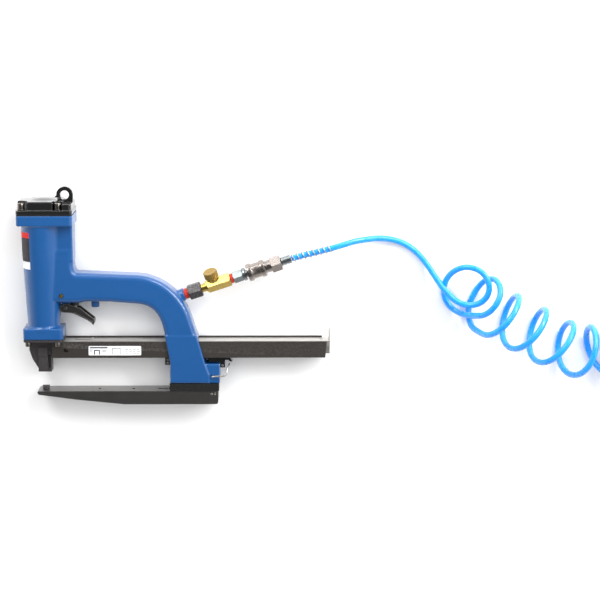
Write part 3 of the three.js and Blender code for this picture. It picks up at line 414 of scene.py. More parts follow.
def pad(x, y, z, x_range, half, corner, y_range, edge=1.0):
    """A rounded rectangle in x and z with a height along y."""
    centre = (sum(x_range) / 2, 0)
    flat = box_flat(x, z, centre, ((x_range[1] - x_range[0]) / 2, half), corner)
    return slab(flat, y - sum(y_range) / 2, (y_range[1] - y_range[0]) / 2, edge)


def block(x, y, z, x_range, y_range, z_range, edge=0.3):
    centre = (sum(x_range) / 2, sum(y_range) / 2)
    half = ((x_range[1] - x_range[0]) / 2, (y_range[1] - y_range[0]) / 2)
    return slab(box_flat(x, y, centre, half, edge), z - sum(z_range) / 2, (z_range[1] - z_range[0]) / 2, edge)


def rod_y(x, y, z, centre, radius, y_range):
    return slab(np.hypot(x - centre[0], z - centre[1]) - radius, y - sum(y_range) / 2,
                (y_range[1] - y_range[0]) / 2)


def rod_z(x, y, z, centre, radius, z_range):
    return slab(np.hypot(x - centre[0], y - centre[1]) - radius, z - sum(z_range) / 2,
                (z_range[1] - z_range[0]) / 2)


def cast(name, distance, low, high, cell, body, material, replaces=()):
    """A piece whose surface is where distance(x, y, z) is zero, in the tool's axes."""
    counts = [int((b - a) / cell) + 2 for a, b in zip(low, high)]
    x, y, z = [(a + cell * np.arange(n)).reshape([-1 if k == i else 1 for k in range(3)])
               for i, (a, n) in enumerate(zip(low, counts))]
    band = 3 * cell
    field = np.broadcast_to(np.clip(distance(x, y, z), -band, band), counts).astype(np.float32)
    grid = openvdb.FloatGrid(band)
    grid.copyFromArray(np.ascontiguousarray(field))
    points, quads = grid.convertToQuads(isovalue=0)
    points = np.array(low) + cell * points.astype(float)
    step = 0.02
    for _ in range(3):
        here = distance(*points.T)
        slope = np.stack([(distance(*(points + step * np.eye(3)[k]).T) - here) / step for k in range(3)], 1)
        length = np.maximum((slope ** 2).sum(1), 0.25)
        points -= np.clip(here / length, -cell / 2, cell / 2)[:, None] * slope
    corners = points[quads]
    normal = np.cross(corners[:, 1] - corners[:, 0], corners[:, 2] - corners[:, 0])
    if (corners[:, 0] * normal).sum() < 0:
        quads = quads[:, ::-1]
    return new_piece(name, points.tolist(), quads.tolist(), TOOL, body, material, replaces)


def hexagon(angle, across_flats):
    """How far a hexagon's side is from its centre, at an angle."""
    sector = math.pi / 3
    return across_flats / 2 / np.cos((angle + sector / 2) % sector - sector / 2)


SIDES = 72
ANGLES = np.arange(SIDES) * 2 * math.pi / SIDES


def revolve(name, rings, axes, body, material, replaces=(), closed=False):
    """A body round the x axis through rings of (station, radius), where each may differ by angle.
    A closed one joins its last ring to its first, as a sleeve does; an open one is capped."""
    points = []
    for station, radius in rings:
        radius = np.broadcast_to(radius, SIDES)
        station = np.broadcast_to(station, SIDES)
        points += list(zip(station, radius * np.cos(ANGLES), radius * np.sin(ANGLES)))
    count = len(rings)
    faces = []
    for i in range(count if closed else count - 1):
        a, b = i * SIDES, (i + 1) % count * SIDES
        for j in range(SIDES):
            k = (j + 1) % SIDES
            faces.append((a + j, a + k, b + k, b + j))
    if not closed:
        faces.append(tuple(reversed(range(SIDES))))
        faces.append(tuple(range((count - 1) * SIDES, count * SIDES)))
    piece = new_piece(name, points, faces, axes, body, material, replaces)
    outward(piece)
    return piece


def outward(piece):
    """Turns all faces of a closed mesh outwards, and marks its sharp edges."""
    work = bmesh.new()
    work.from_mesh(piece.data)
    bmesh.ops.remove_doubles(work, verts=work.verts, dist=1e-7)
    bmesh.ops.recalc_face_normals(work, faces=work.faces)
    for edge in work.edges:
        edge.smooth = len(edge.link_faces) != 2 or edge.calc_face_angle(0) < 0.6
    work.to_mesh(piece.data)
    work.free()


def hex_rings(across_flats, start, end, chamfer=1.0):
    """Rings of a hexagon whose corners are turned down at both ends."""
    flats = hexagon(ANGLES, across_flats)
    face = across_flats / 2 * 0.985
    drop = np.maximum(flats - face, 0) * 0.577 * chamfer
    return [(start, face), (start + drop, flats), (end - drop, flats), (end, face)]


def unite(piece, *others):
    """Joins closed pieces into one closed mesh."""
    for other in others:
        modifier = piece.modifiers.new("join", "BOOLEAN")
        modifier.operation = "UNION"
        modifier.solver = "MANIFOLD"
        modifier.object = other
    bpy.context.view_layer.update()
    depsgraph = bpy.context.evaluated_depsgraph_get()
    mesh = bpy.data.meshes.new_from_object(piece.evaluated_get(depsgraph))
    piece.modifiers.clear()
    piece.data = mesh
    for other in others:
        bpy.data.objects.remove(other)
    outward(piece)
    return piece


def wire(name, points, radius, axes, body, material, replaces=(), scale=MM):
    """A round wire or tube along points, as a curve of one spline."""
    curve = bpy.data.curves.new(name, "CURVE")
    curve.dimensions = "3D"
    curve.bevel_depth = radius * scale
    curve.bevel_resolution = 5
    curve.use_fill_caps = True
    spline = curve.splines.new("POLY")
    spline.points.add(len(points) - 1)
    for point, place in zip(spline.points, points):
        point.co = (*(axes @ (scale * Vector(place))), 1)
    spline.use_smooth = True
    piece = bpy.data.objects.new(name, curve)
    bpy.context.scene.collection.objects.link(piece)
    finish_piece(piece, body, material, replaces)
    return piece


def through(points, steps=8):
    """A smooth line through given points."""
    ends = [points[0], *points, points[-1]]
    found = []
    for p0, p1, p2, p3 in zip(ends, ends[1:], ends[2:], ends[3:]):
        for i in range(steps):
            t = i / steps
            weights = (
                (t * (2 - t) - 1) * t, (3 * t - 5) * t * t + 2, ((4 - 3 * t) * t + 1) * t, (t - 1) * t * t)
            found.append(tuple(
                sum(w * p / 2 for w, p in zip(weights, values)) for values in zip(p0, p1, p2, p3)))
    return [*found, points[-1]]


# ---------- hose ----------

HOSE_RADIUS = 0.004
# Points of the hose's centre line, measured from the ferrule's end: x, y, and height above the floor.
HOSE_LEAD = [
    (0.00034, 0.00012, 0.0237), (0.02384, 0.00612, 0.0236), (0.04684, 0.01162, 0.0236),
    (0.06434, 0.01662, 0.022), (0.08134, 0.02112, 0.0175), (0.09834, 0.02362, 0.0125),
    (0.11584, 0.02462, 0.0085), (0.13384, 0.02212, 0.0055), (0.15034, 0.01562, 0.0045),
    (0.16484, 0.00462, 0.005), (0.17634, -0.00888, 0.008), (0.18534, -0.02208, 0.013)]
FIRST_LOOPS = [
    (0.19584, -0.03738, 0.0185), (0.20384, -0.04638, 0.0205), (0.21234, -0.05438, 0.022),
    (0.22334, -0.05988, 0.024), (0.23434, -0.06038, 0.0275), (0.24484, -0.05688, 0.0315),
    (0.25234, -0.04888, 0.0355), (0.25534, -0.03888, 0.038), (0.25384, -0.02788, 0.0395),
    (0.24784, -0.01838, 0.0385), (0.23884, -0.01238, 0.036), (0.22784, -0.01038, 0.032),
    (0.21734, -0.01288, 0.0265), (0.20884, -0.01888, 0.0205), (0.20284, -0.02738, 0.0145),
    (0.19934, -0.03838, 0.0098), (0.19984, -0.04988, 0.0063), (0.20434, -0.06088, 0.0058),
    (0.21234, -0.06888, 0.0085), (0.22234, -0.07338, 0.0155), (0.23184, -0.07438, 0.0245),
    (0.24034, -0.07338, 0.034), (0.24784, -0.07138, 0.043), (0.25584, -0.06538, 0.05),
    (0.26234, -0.05688, 0.0535), (0.26734, -0.04688, 0.0525), (0.26884, -0.03738, 0.048),
    (0.26684, -0.02988, 0.04), (0.26284, -0.02638, 0.0305), (0.25634, -0.02738, 0.0205),
    (0.24984, -0.03238, 0.0125), (0.24334, -0.04088, 0.007), (0.23784, -0.05138, 0.0045),
    (0.23334, -0.06238, 0.0045), (0.23184, -0.07388, 0.007), (0.23334, -0.08438, 0.0125),
    (0.23734, -0.09188, 0.0205)]
COIL_RADIUS = 0.0325
COIL_LEAN = math.radians(16)
COIL_PITCH = 0.0399
CLOSED_PITCH = 0.00845
COIL_START = Vector((0.26094, -0.06708))
START_HEADING = math.radians(-26.8)
END_HEADING = math.radians(35)
STRAIGHT = 2.4 * COIL_PITCH
BEND_RADIUS = 0.095
CLOSING = 0.045
TURNS = 20.75
TURN_POINTS = 32
TAIL_RISE = 0.0089
TAIL_REACH = 0.076
FLOOR_CLEARANCE = 0.0003


def heading_vector(angle):
    return Vector((math.cos(angle), math.sin(angle)))


def coil_axis(distance):
    """The spiral's axis: where it is and which way it heads, on the floor plan."""
    bend = BEND_RADIUS * (END_HEADING - START_HEADING)
    corner = COIL_START + heading_vector(START_HEADING) * STRAIGHT
    centre = corner + heading_vector(START_HEADING + math.pi / 2) * BEND_RADIUS
    if distance < STRAIGHT:
        return COIL_START + heading_vector(START_HEADING) * distance, START_HEADING
    if distance < STRAIGHT + bend:
        heading = START_HEADING + (distance - STRAIGHT) / BEND_RADIUS
        return centre + heading_vector(heading - math.pi / 2) * BEND_RADIUS, heading
    end = centre + heading_vector(END_HEADING - math.pi / 2) * BEND_RADIUS
    return end + heading_vector(END_HEADING) * (distance - STRAIGHT - bend), END_HEADING


def spiral():
    """The spiral's turns: drawn out and leaning at first, closed up against each other at the end."""
    drawn_out = STRAIGHT + BEND_RADIUS * (END_HEADING - START_HEADING)
    distance = 0.0
    found = []
    for i in range(round(TURNS * TURN_POINTS) + 1):
        angle = 2 * math.pi * i / TURN_POINTS
        middle, heading = coil_axis(distance)
        closed = min(1.0, max(0.0, (distance - drawn_out + CLOSING) / CLOSING))
        lean = COIL_LEAN * (1 - closed)
        side = heading_vector(heading + math.pi / 2)
        plan = middle + COIL_RADIUS * (
            math.sin(angle) * math.sin(lean) * heading_vector(heading) - math.cos(angle) * side)
        height = HOSE_RADIUS + FLOOR_CLEARANCE + COIL_RADIUS * math.cos(lean) * (1 + math.sin(angle))
        found.append((*plan, height))
        distance += (COIL_PITCH + (CLOSED_PITCH - COIL_PITCH) * closed) / TURN_POINTS
    return found


def tail(start):
    """From the last turn's foot straight to the end plug."""
    way = heading_vector(END_HEADING - math.pi / 2)
    steps = 8
    found = []
    for i in range(1, steps + 1):
        share = i / steps
        rise = share * share * (3 - 2 * share)
        plan = Vector(start[:2]) + way * TAIL_REACH * share
        found.append((*plan, start[2] + (TAIL_RISE - start[2]) * rise))
    return found


def make_hose():
    turns = spiral()
    route = [*through([*HOSE_LEAD, *FIRST_LOOPS, turns[0]], 4)[:-1], *turns, *tail(turns[-1])]
    route = [tuple(Vector(point) + HOSE_EXIT) for point in route]
    hose = wire("spiral_hose", route, HOSE_RADIUS, Matrix.Identity(4), "tool", HOSE_BLUE,
                ("hose_lead", "hose_spiral", "hose_pack", "hose_tail"), 1.0)


make_hose()

# ---------- housing ----------

AXIS = 1.0
CYLINDER_RADIUS = 17
HEAD_X = (-28.9, 43.3)
HEAD_HALF = 28.5
TOP_FLANGE = (235.8, 249)
CHAMBER_MIDDLE = 22
CHAMBER_RIGHT = 41.9
CHAMBER_HALF = 16.8
LOWER_FLANGE = (86.6, 101)
LOWER_FLANGE_X = (-24.3, 27.2)
HANDLE_HALF = 17.5
COLUMN_HALF = 17.9
STOP_BOSS = (68, 132.3)
LUG_HALF = 3.8
TRIGGER_PIN = (30.4, 126.5)
PIN_BORE = 1.95
TRIGGER_VALVE = 42
PASSAGE_PLUG = (25.8, 143.6)
LATCH_PIVOT = (219, 37.5)
INLET_BOSS = 8.2
HANDLE_OUTLINE = [
    (6, 134), (49, 134), (55, 135.6), (88, 135.2), (122, 132.6),
    *bezier((122, 132.6), (148, 131.5), (155.5, 112), (158.6, 88.4)),
    (159.8, 82), (202.7, 82), (192.1, 115),
    *bezier((192.1, 115), (184, 142), (158, 168.6), (122.6, 170.2)),
    (46, 173.2),
    *bezier((46, 173.2), (43, 173.7), (41.9, 178.7), (41.9, 188), 6),
    (41.9, 208), (6, 208)]
COLUMN_OUTLINE = [
    (164.8, 28.1), (216, 28.1), (216, 39), (210.5, 54), (205.1, 74), (199.5, 92), (158.1, 92), (163.8, 62.3),
    (165.2, 52), (164.8, 43.6)]
AIR_SPACE_OUTLINE = [
    (20, 152), (60, 146), (122, 142), *bezier((122, 142), (140, 140), (150, 130), (156, 122), 6),
    (176, 132), *bezier((176, 132), (168, 146), (150, 159), (122, 161), 6), (50, 164), (30, 172), (29, 214),
    (20, 214)]
CAP_SCREWS = [(-22.3, 21.6), (24.4, 21.6), (-22.3, -21.6), (24.4, -21.6)]
NOSE_SCREWS = [(-18.5, 18.1), (20.2, 18.1), (-18.5, -18.1), (20.2, -18.1)]
FOOT_SCREWS = (178, 196, 214)

# The barrel's radius by height.
BARREL = [(98, 20.4), (195, 25.6), (235.8, 26.7)]


def barrel_radius(y):
    return np.interp(y, *zip(*BARREL))


def inlet_place(x, y):
    """How far places lie along the air inlet's axis, and how far off it."""
    way = math.cos(INLET_ANGLE), math.sin(INLET_ANGLE)
    along = (x - INLET[0]) * way[0] + (y - INLET[1]) * way[1]
    off = (y - INLET[1]) * way[0] - (x - INLET[0]) * way[1]
    return along, off


def housing_outside(x, y, z):
    """The housing without its hollows: a barrel with two flanges, the handle, the column and small bosses."""
    low_y, high_y = BARREL[0][0], BARREL[-1][0] + 2
    barrel = slab(np.hypot(x - AXIS, z) - barrel_radius(y), y - (low_y + high_y) / 2, (high_y - low_y) / 2)
    flange = pad(x, y, z, HEAD_X, HEAD_HALF, 5, TOP_FLANGE, 1.0)
    chamber_flat = box_flat(x, z, (CHAMBER_MIDDLE, 0), (CHAMBER_RIGHT - CHAMBER_MIDDLE, CHAMBER_HALF), 2.5)
    chamber = slab(chamber_flat, y - 215.5, 27.5, 1.5)
    lower = pad(x, y, z, LOWER_FLANGE_X, 22, 5, LOWER_FLANGE, 1.0)
    handle = slab(outline(HANDLE_OUTLINE, x, y), z, HANDLE_HALF, 7)
    column = slab(outline(COLUMN_OUTLINE, x, y), z, COLUMN_HALF, 2.4)
    rear = block(x, y, z, (205, 229.3), (28.1, 53.2), (-16.5, 16.5), 1.2)
    lug = np.minimum(block(x, y, z, (25.4, 35.4), (TRIGGER_PIN[1], 137), (-LUG_HALF, LUG_HALF)),
                     rod_z(x, y, z, TRIGGER_PIN, 5, (-LUG_HALF, LUG_HALF)))
    boss = slab(np.hypot(x - STOP_BOSS[0], z) - 5.2, y - STOP_BOSS[1], 5.7, 0.8)
    along, off = inlet_place(x, y)
    inlet = slab(np.hypot(off, z) - INLET_BOSS, along + 7, 7, 0.6)
    head = smooth_join(smooth_join(smooth_join(barrel, chamber, 2.5), flange, 3.0), lower, 4.0)
    body = smooth_join(smooth_join(head, handle, 1.2), column, 1.2)
    body = smooth_join(smooth_join(body, rear, 1.2), lug, 1.6)
    return smooth_join(smooth_join(body, boss, 1.0), inlet, 1.6)


def housing_distance(x, y, z):
    """The housing with its bores, air space and magazine way."""
    body = housing_outside(x, y, z)
    along, off = inlet_place(x, y)
    hollows = [
        rod_y(x, y, z, (AXIS, 0), CYLINDER_RADIUS, (70, 205)),
        rod_y(x, y, z, (AXIS, 0), 24, (196, 260)),
        slab(outline(AIR_SPACE_OUTLINE, x, y), z, 12, 1),
        rod_y(x, y, z, (TRIGGER_VALVE, 0), 5.4, (115, 155)),
        slab(np.hypot(off, z) - 5.2, along + 12, 20),
        rod_z(x, y, z, TRIGGER_PIN, PIN_BORE, (-6, 6)),
        block(x, y, z, (140, 240), (60.9, 85.8), (-14.5, 14.5)),
        block(x, y, z, (140, 240), (45.8, 62), (-7.6, 7.6)),
        rod_z(x, y, z, PASSAGE_PLUG, 2.7, (13, 30)),
        rod_z(x, y, z, LATCH_PIVOT, 1.6, (-20, 20)),
        *(rod_y(x, y, z, place, 2.8, (238, 255)) for place in CAP_SCREWS),
        *(rod_y(x, y, z, place, 2.4, (80, 96)) for place in NOSE_SCREWS),
        *(rod_y(x, y, z, (place, 0), 3.4, (20, 46)) for place in FOOT_SCREWS),
    ]
    for hollow in hollows:
        body = smooth_cut(body, hollow, 0.6)
    return body


cast("cast_housing", housing_distance, (-31, 25, -31), (232, 252, 31), 1.0, "tool",
     BLUE_ENAMEL, ("main_housing",))

# ---------- cap and its eye ----------

CAP_BOTTOM = 250.4
CAP_LEDGE = CAP_BOTTOM + 5.6
CAP_TOP = CAP_BOTTOM + 16.7
CAP_INSET = 1.2
# The cap's top is lower beyond this x, by this much.
CAP_STEP = (30.3, 3.0)
CROWN_X = 4
CROWN_RADIUS = 18
CROWN_RISE = 3
POCKET_REACH = 12
GAP = 0.3
EYE = (31.6, CAP_TOP + GAP + 6)
EYE_OUTER = 10.7
EYE_HOLE = 5.6
EYE_HALF = 4.5
EYE_SPREAD = 14


def cap_distance(x, y, z):
    """The cap: a ledge, a body with a step and a low crown, and open pockets round its screws."""
    ledge = pad(x, y, z, HEAD_X, HEAD_HALF, 4.5, (CAP_BOTTOM, CAP_LEDGE), 0.8)
    body_x = (HEAD_X[0] + CAP_INSET, HEAD_X[1] - CAP_INSET)
    body = pad(x, y, z, body_x, HEAD_HALF - CAP_INSET, 4.5, (CAP_BOTTOM + 1, CAP_TOP), 2.2)
    step = block(x, y, z, (CAP_STEP[0], 60), (CAP_TOP - CAP_STEP[1], CAP_TOP + 20), (-40, 40))
    body = smooth_cut(body, step, 1.5)
    rise = np.hypot(x - CROWN_X, z) / CROWN_RADIUS
    crown = np.maximum((y - CAP_TOP + 0.4) - CROWN_RISE * (1 - rise ** 2),
                       np.maximum(CAP_TOP - 4 - y, rise - 1))
    whole = smooth_join(smooth_join(ledge, body, 1.0), crown, 1.2)
    pocket_y = (CAP_LEDGE, CAP_TOP + 20)
    for px, pz in CAP_SCREWS:
        side = math.copysign(1, pz)
        wide = 8.4 if px < AXIS else 6
        open_z = sorted((pz, pz + side * POCKET_REACH))
        pocket = rod_y(x, y, z, (px, pz), wide, pocket_y)
        open_x = (px - POCKET_REACH, px) if px < AXIS else (px - wide, px + wide)
        pocket = np.minimum(pocket, block(x, y, z, open_x, pocket_y, open_z, 0.2))
        if px < AXIS:
            inner = block(x, y, z, open_x, pocket_y, sorted((pz - side * wide, pz)), 0.2)
            outer = block(x, y, z, (px, px + wide), pocket_y, open_z, 0.2)
            pocket = np.minimum(pocket, np.minimum(inner, outer))
        whole = smooth_cut(whole, pocket, 0.9)
        whole = smooth_cut(whole, rod_y(x, y, z, (px, pz), 2.8, (CAP_BOTTOM - 2, CAP_LEDGE + 4)), 0.3)
    return smooth_cut(whole, rod_y(x, y, z, (AXIS, 0), 20, (CAP_BOTTOM - 2, CAP_BOTTOM + 8)), 0.6)


def eye_distance(x, y, z):
    """The suspension eye: a ring on a web with a foot, seated on the cap's step beside its crown."""
    seat = CAP_TOP + GAP
    low_seat = seat - CAP_STEP[1]
    ring = slab(np.hypot(x - EYE[0], y - EYE[1]) - EYE_OUTER, z, EYE_HALF, 0.8)
    side = [(EYE[0] - EYE_SPREAD, low_seat - 2), (EYE[0] + 10.6, low_seat - 2), (EYE[0] + 10.6, EYE[1]),
            (EYE[0] - 10.6, EYE[1]), (EYE[0] - EYE_SPREAD, seat + 1.5)]
    web = slab(outline(side, x, y), z, EYE_HALF, 0.8)
    foot = block(x, y, z, (22.8, 30), (seat - 2, seat + 2), (-9.5, 9.5), 0.8)
    crown_space = rod_y(x, y, z, (CROWN_X, 0), CROWN_RADIUS + 0.7, (CAP_TOP - 10, seat + 2.6))
    body = smooth_join(smooth_join(ring, web, 0.6), foot, 1.6)
    body = np.maximum(body, np.maximum(low_seat - y, np.minimum(seat - y, CAP_STEP[0] + GAP - x)))
    body = np.maximum(body, -crown_space)
    return smooth_cut(body, rod_z(x, y, z, EYE, EYE_HOLE, (-9, 9)), 0.3)


cast("cast_cap", cap_distance, (-31, 249, -30), (44, 273, 30), 0.7, "tool", BLACK_ENAMEL,
     ("top_cap",))
cast("cast_eye", eye_distance, (15, 262, -11), (44, 284, 11), 0.5, "tool", BLACK_ENAMEL,
     ("suspension_eye",))

# ---------- trigger ----------

TRIGGER_OUTLINE = [
    (22.6, 128.6), (22.4, 124.2), *bezier((22.4, 124.2), (22.7, 122.2), (24.2, 120.7), (26.6, 120.5), 6),
    (37.8, 119.6), (44.9, 116.4),
    (54.7, 111.6), *bezier((54.7, 111.6), (58.9, 109.5), (62.5, 106.7), (65.6, 103.4), 6),
    *bezier((65.6, 103.4), (67.3, 106.2), (67.7, 109.0), (66.7, 111.8), 4),
    (57.7, 118.9), (48.7, 126.3), (34.5, 131)]
TRIGGER_HOLLOW = [
    (20, 118), (35.4, 118), (36.4, 123), (46, 118.8), (56, 113.8), (64, 109.2), (72, 118), (50, 140),
    (20, 140)]
TRIGGER_HALF = 8
TRIGGER_INSIDE = 6.4
FINGER_GROOVES = 11


def trigger_distance(x, y, z):
    """A hollow trigger with a round pivot, and slanting grooves along its finger side and its flanks."""
    pivot = slab(np.hypot(x - TRIGGER_PIN[0], y - TRIGGER_PIN[1]) - 5.4, z, TRIGGER_HALF, 0.8)
    body = smooth_join(slab(outline(TRIGGER_OUTLINE, x, y), z, TRIGGER_HALF, 0.8), pivot, 0.8)
    body = smooth_cut(body, slab(outline(TRIGGER_HOLLOW, x, y), z, TRIGGER_INSIDE), 0.5)
    lug_slot = block(x, y, z, (24.4, 36.4), (124.5, 132.5), (-TRIGGER_INSIDE, TRIGGER_INSIDE))
    body = smooth_cut(body, lug_slot, 0.3)
    for i in range(FINGER_GROOVES):
        gx, gy = 40 + 2.2 * i, 117.4 - 1.12 * i
        groove = outline([(gx, gy), (gx + 1, gy - 0.5), (gx + 2.4, gy + 2.6), (gx + 1.4, gy + 3.1)], x, y)
        body = smooth_cut(body, np.maximum(groove, 6.9 - np.abs(z)), 0.1)
        body = smooth_cut(body, np.hypot(x - gx - 0.5, y - gy) - 0.7, 0.3)
    return smooth_cut(body, rod_z(x, y, z, TRIGGER_PIN, PIN_BORE, (-12, 12)), 0.3)


cast("moulded_trigger", trigger_distance, (20, 100, -9.5), (70, 133, 9.5), 0.4, "trigger",
     TRIGGER_PLASTIC, ("trigger",))

# ---------- screws, pins and the passage plug ----------


def standing(place, seat, up=1):
    """Axes for a turned piece: x starts at the seat and runs up or down the tool's y axis."""
    turn = Matrix.Rotation(up * math.pi / 2, 4, "Z")
    return TOOL @ Matrix.Translation((place[0] * MM, seat * MM, place[1] * MM)) @ turn


def crosswise(place):
    """Axes for a turned piece whose x runs across the tool through a place seen from the side."""
    turn = Matrix.Rotation(-math.pi / 2, 4, "Y")
    return TOOL @ Matrix.Translation((place[0] * MM, place[1] * MM, 0)) @ turn


CAP_SCREW_SOCKET = hexagon(ANGLES, 4.0)
for i, place in enumerate(CAP_SCREWS):
    revolve(f"turned_cap_screw_{i + 1}", [
        (-18, 2.0), (-17.6, 2.3), (-0.02, 2.3), (0, 4.6), (0.15, 4.8), (1.2, 4.8), (1.4, 4.5), (1.42, 4.2),
        (1.6, 4.3), (8.2, 4.3), (8.65, 4.1), (8.8, 3.7), (8.8, CAP_SCREW_SOCKET + 0.2),
        (8.6, CAP_SCREW_SOCKET), (5.1, CAP_SCREW_SOCKET)],
        standing(place, CAP_LEDGE + GAP), "tool", SCREW_STEEL, (f"cap_screw_{i + 1}",))

NOSE_PLATE = 2.8
NOSE_SEAT = LOWER_FLANGE[0] - GAP - NOSE_PLATE - GAP
NOSE_SCREW_SOCKET = hexagon(ANGLES, 3.4)
for i, place in enumerate(NOSE_SCREWS):
    revolve(f"turned_nose_screw_{i + 1}", [
        (NOSE_SEAT - 94, 1.6), (NOSE_SEAT - 93.6, 1.9), (-0.02, 1.9), (0, 3.3), (0.15, 3.4), (4.6, 3.4),
        (5.3, 3.1), (5.6, 2.6), (5.6, NOSE_SCREW_SOCKET + 0.15), (5.45, NOSE_SCREW_SOCKET),
        (3.0, NOSE_SCREW_SOCKET)], standing(place, NOSE_SEAT, -1), "tool", SCREW_STEEL,
        (f"nose_screw_{i + 1}",))

revolve("turned_trigger_pin", [
    (-9.2, 1.1), (-8.9, 1.5), (-8.7, 1.6), (8.7, 1.6), (8.9, 1.5), (9.2, 1.1)],
    crosswise(TRIGGER_PIN), "tool", SCREW_STEEL, ("trigger_pin",))
revolve("turned_latch_pin", [
    (3.6, 1.3), (3.8, 1.6), (8.5, 1.6), (8.85, 1.45), (9, 1.1)],
    crosswise((232.5, 50)), "tool", BRIGHT_STEEL, ("latch_pin",))
revolve("turned_passage_plug", [
    (13.4, 2.1), (13.6, 2.3), (19.0, 2.3), (19.3, 2.1), (19.4, 1.8), (19.4, 1.0), (18.6, 0.9)],
    crosswise(PASSAGE_PLUG), "tool", BRASS, ("air_passage_plug",))

# ---------- air fittings ----------


def knurled(radius, depth):
    """A radius with 24 shallow teeth round it."""
    return radius - depth * np.abs((np.arange(SIDES) % 3) - 1)


def fitting(name, rings, material, closed=True, body="tool", axes=FITTINGS, replaces=()):
    return revolve(name, rings, axes, body, material, replaces, closed)


fitting("hex_union_nut", [*hex_rings(18.2, 5.9, 23.2, 1.4), (23.2, 5.2), (22.8, 5), (6.3, 5), (5.9, 5.2)],
        NUT_STEEL, replaces=("union_nut",))

valve = fitting("valve_body_barrel", [
    (23.5, 5.2), (23.9, 5.6), (25.5, 5.6), (25.8, 5.3), (26.2, 5.3), (26.5, 5.6), (29.6, 5.6), (29.8, 7.0),
    (30.1, 7.5), (30.6, 7.6), (31.4, 7.6), *hex_rings(16.4, 31.5, 62.9, 1.3), (63, 3.8), (62.6, 3.4),
    (23.9, 3.4), (23.5, 3.8)], BRASS)
KNOB_ALONG = 41
KNOB_LEAN = math.radians(19)
KNOB_AXES = (FITTINGS @ Matrix.Translation((KNOB_ALONG * MM, 0, 0)) @ Matrix.Rotation(KNOB_LEAN, 4, "X")
             @ Matrix.Rotation(math.pi / 2, 4, "Z"))
tower = fitting("valve_tower", [
    (5, 6), (9.0, 6), (9.2, 5.7), (9.5, 5.7), (9.7, 6), (10.1, 6), (10.4, 5.6), (10.4, 3.2), (5, 3.2)],
    BRASS, axes=KNOB_AXES)
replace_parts(unite(valve, tower), "shutoff_valve_body")

fitting("knurled_knob", [
    (8.6, 2.5), (8.8, 2.8), (10.8, 2.8), (10.8, 7.6), (11.0, 8.2), (11.6, knurled(9.1, 0.35)),
    (12.0, knurled(9.2, 0.5)), (19.4, knurled(9.2, 0.5)), (19.8, knurled(9.1, 0.35)), (20.25, 8.2),
    (20.3, 7.2), (20.1, 6.8), (19.9, 3.0), (20.2, 2.6), (20.2, 1.5)],
    KNOB_BRASS, False, "valve_knob", KNOB_AXES, ("shutoff_valve_knob",))

THREAD_PITCH = 0.95
THREAD_DEPTH = 0.45


def threaded(start, end, outer, inner):
    """Rings of a sealed thread: ridges between two stations, with a bore."""
    root = outer - THREAD_DEPTH
    rings = [(start, root)]
    station = start + THREAD_PITCH / 2
    while station < end - THREAD_PITCH / 3:
        rings += [(station - 0.15, outer), (station + 0.15, outer), (station + THREAD_PITCH / 2, root)]
        station += THREAD_PITCH
    return [*rings, (end, root), (end, inner), (start, inner)]


fitting("sealed_inlet_thread", threaded(0.3, 5.6, 7, 5), RED_SEAL, replaces=("inlet_seal",))
fitting("sealed_nipple_thread", threaded(63.3, 66.7, 6.4, 3.4), RED_SEAL,
        replaces=("nipple_seal",))

fitting("turned_plug_nipple", [
    *hex_rings(14, 67, 79.7, 1.3), (79.8, 7.6), (80.1, 8.4), (80.5, 8.6), (83.4, 8.6), (83.9, 8.2), (84, 5.4),
    (84.3, 5), (92, 5), (92.6, 4.4), (94.4, 4.4), (95, 5), (100.4, 5), (101, 4.5), (101, 2.8), (67, 2.8)],
    ZINC, replaces=("plug_nipple",))
fitting("ringed_coupler_sleeve", [
    (86.3, 9.6), (86.6, 10.8), (87.0, knurled(11.6, 0.12)), (87.4, knurled(11.7, 0.18)),
    (91.9, knurled(11.7, 0.18)), (92.3, knurled(11.5, 0.12)), (92.7, 10.3), (93.2, 10), (103.7, 10),
    (104.1, 10.3), (104.5, knurled(11.2, 0.12)), (104.9, knurled(11.3, 0.18)), (109.2, knurled(11.3, 0.18)),
    (109.6, 11.0), (109.9, 10.2), (110.4, 9.7), (110.4, 8.5), (86.3, 8.5)],
    NICKEL, body="coupler_sleeve", replaces=("coupler_sleeve",))
fitting("turned_coupler_body", [
    (88, 7.7), (88.3, 8), (112, 8), (112.4, 7.5), (113.6, 7.5), (114, 8), (118.2, 8),
    *hex_rings(19, 118.3, 132.2, 1.4), (132.3, 3.4), (132, 3), (102, 3), (102, 5.4), (88, 5.4)],
    NICKEL, replaces=("coupler_body",))
fitting("crimped_ferrule", [
    (132.6, 5.1), (132.9, 5.5), (133.2, 5.6), (135.2, 5.6), (135.6, 5.15), (136.6, 5.15), (137, 5.6),
    (139, 5.6), (139.4, 5.15), (140.4, 5.15), (140.8, 5.6), (145.2, 5.6), (145.6, 5.2), (145.6, 2.9),
    (145.3, 2.6), (132.9, 2.6), (132.6, 2.9)], ZINC, replaces=("hose_ferrule",))

GUARD_LENGTH = 53.6
GUARD_RADIUS = 5.9
GUARD_TURNS = 7.5
GUARD_WIRE = 0.8
GUARD_AXES = FITTINGS @ Matrix.Translation((146.5 * MM, 0, 0)) @ Matrix.Rotation(math.radians(-4.7), 4, "Z")


def coil(length, radius, thickness, turns, steps):
    """A helix along x with an outer radius; the wire's own radius is its thickness."""
    middle = radius - thickness
    found = []
    for i in range(round(turns * steps) + 1):
        angle = 2 * math.pi * i / steps
        station = thickness + (length - 2 * thickness) * i / (turns * steps)
        found.append((station, middle * math.cos(angle), middle * math.sin(angle)))
    return found


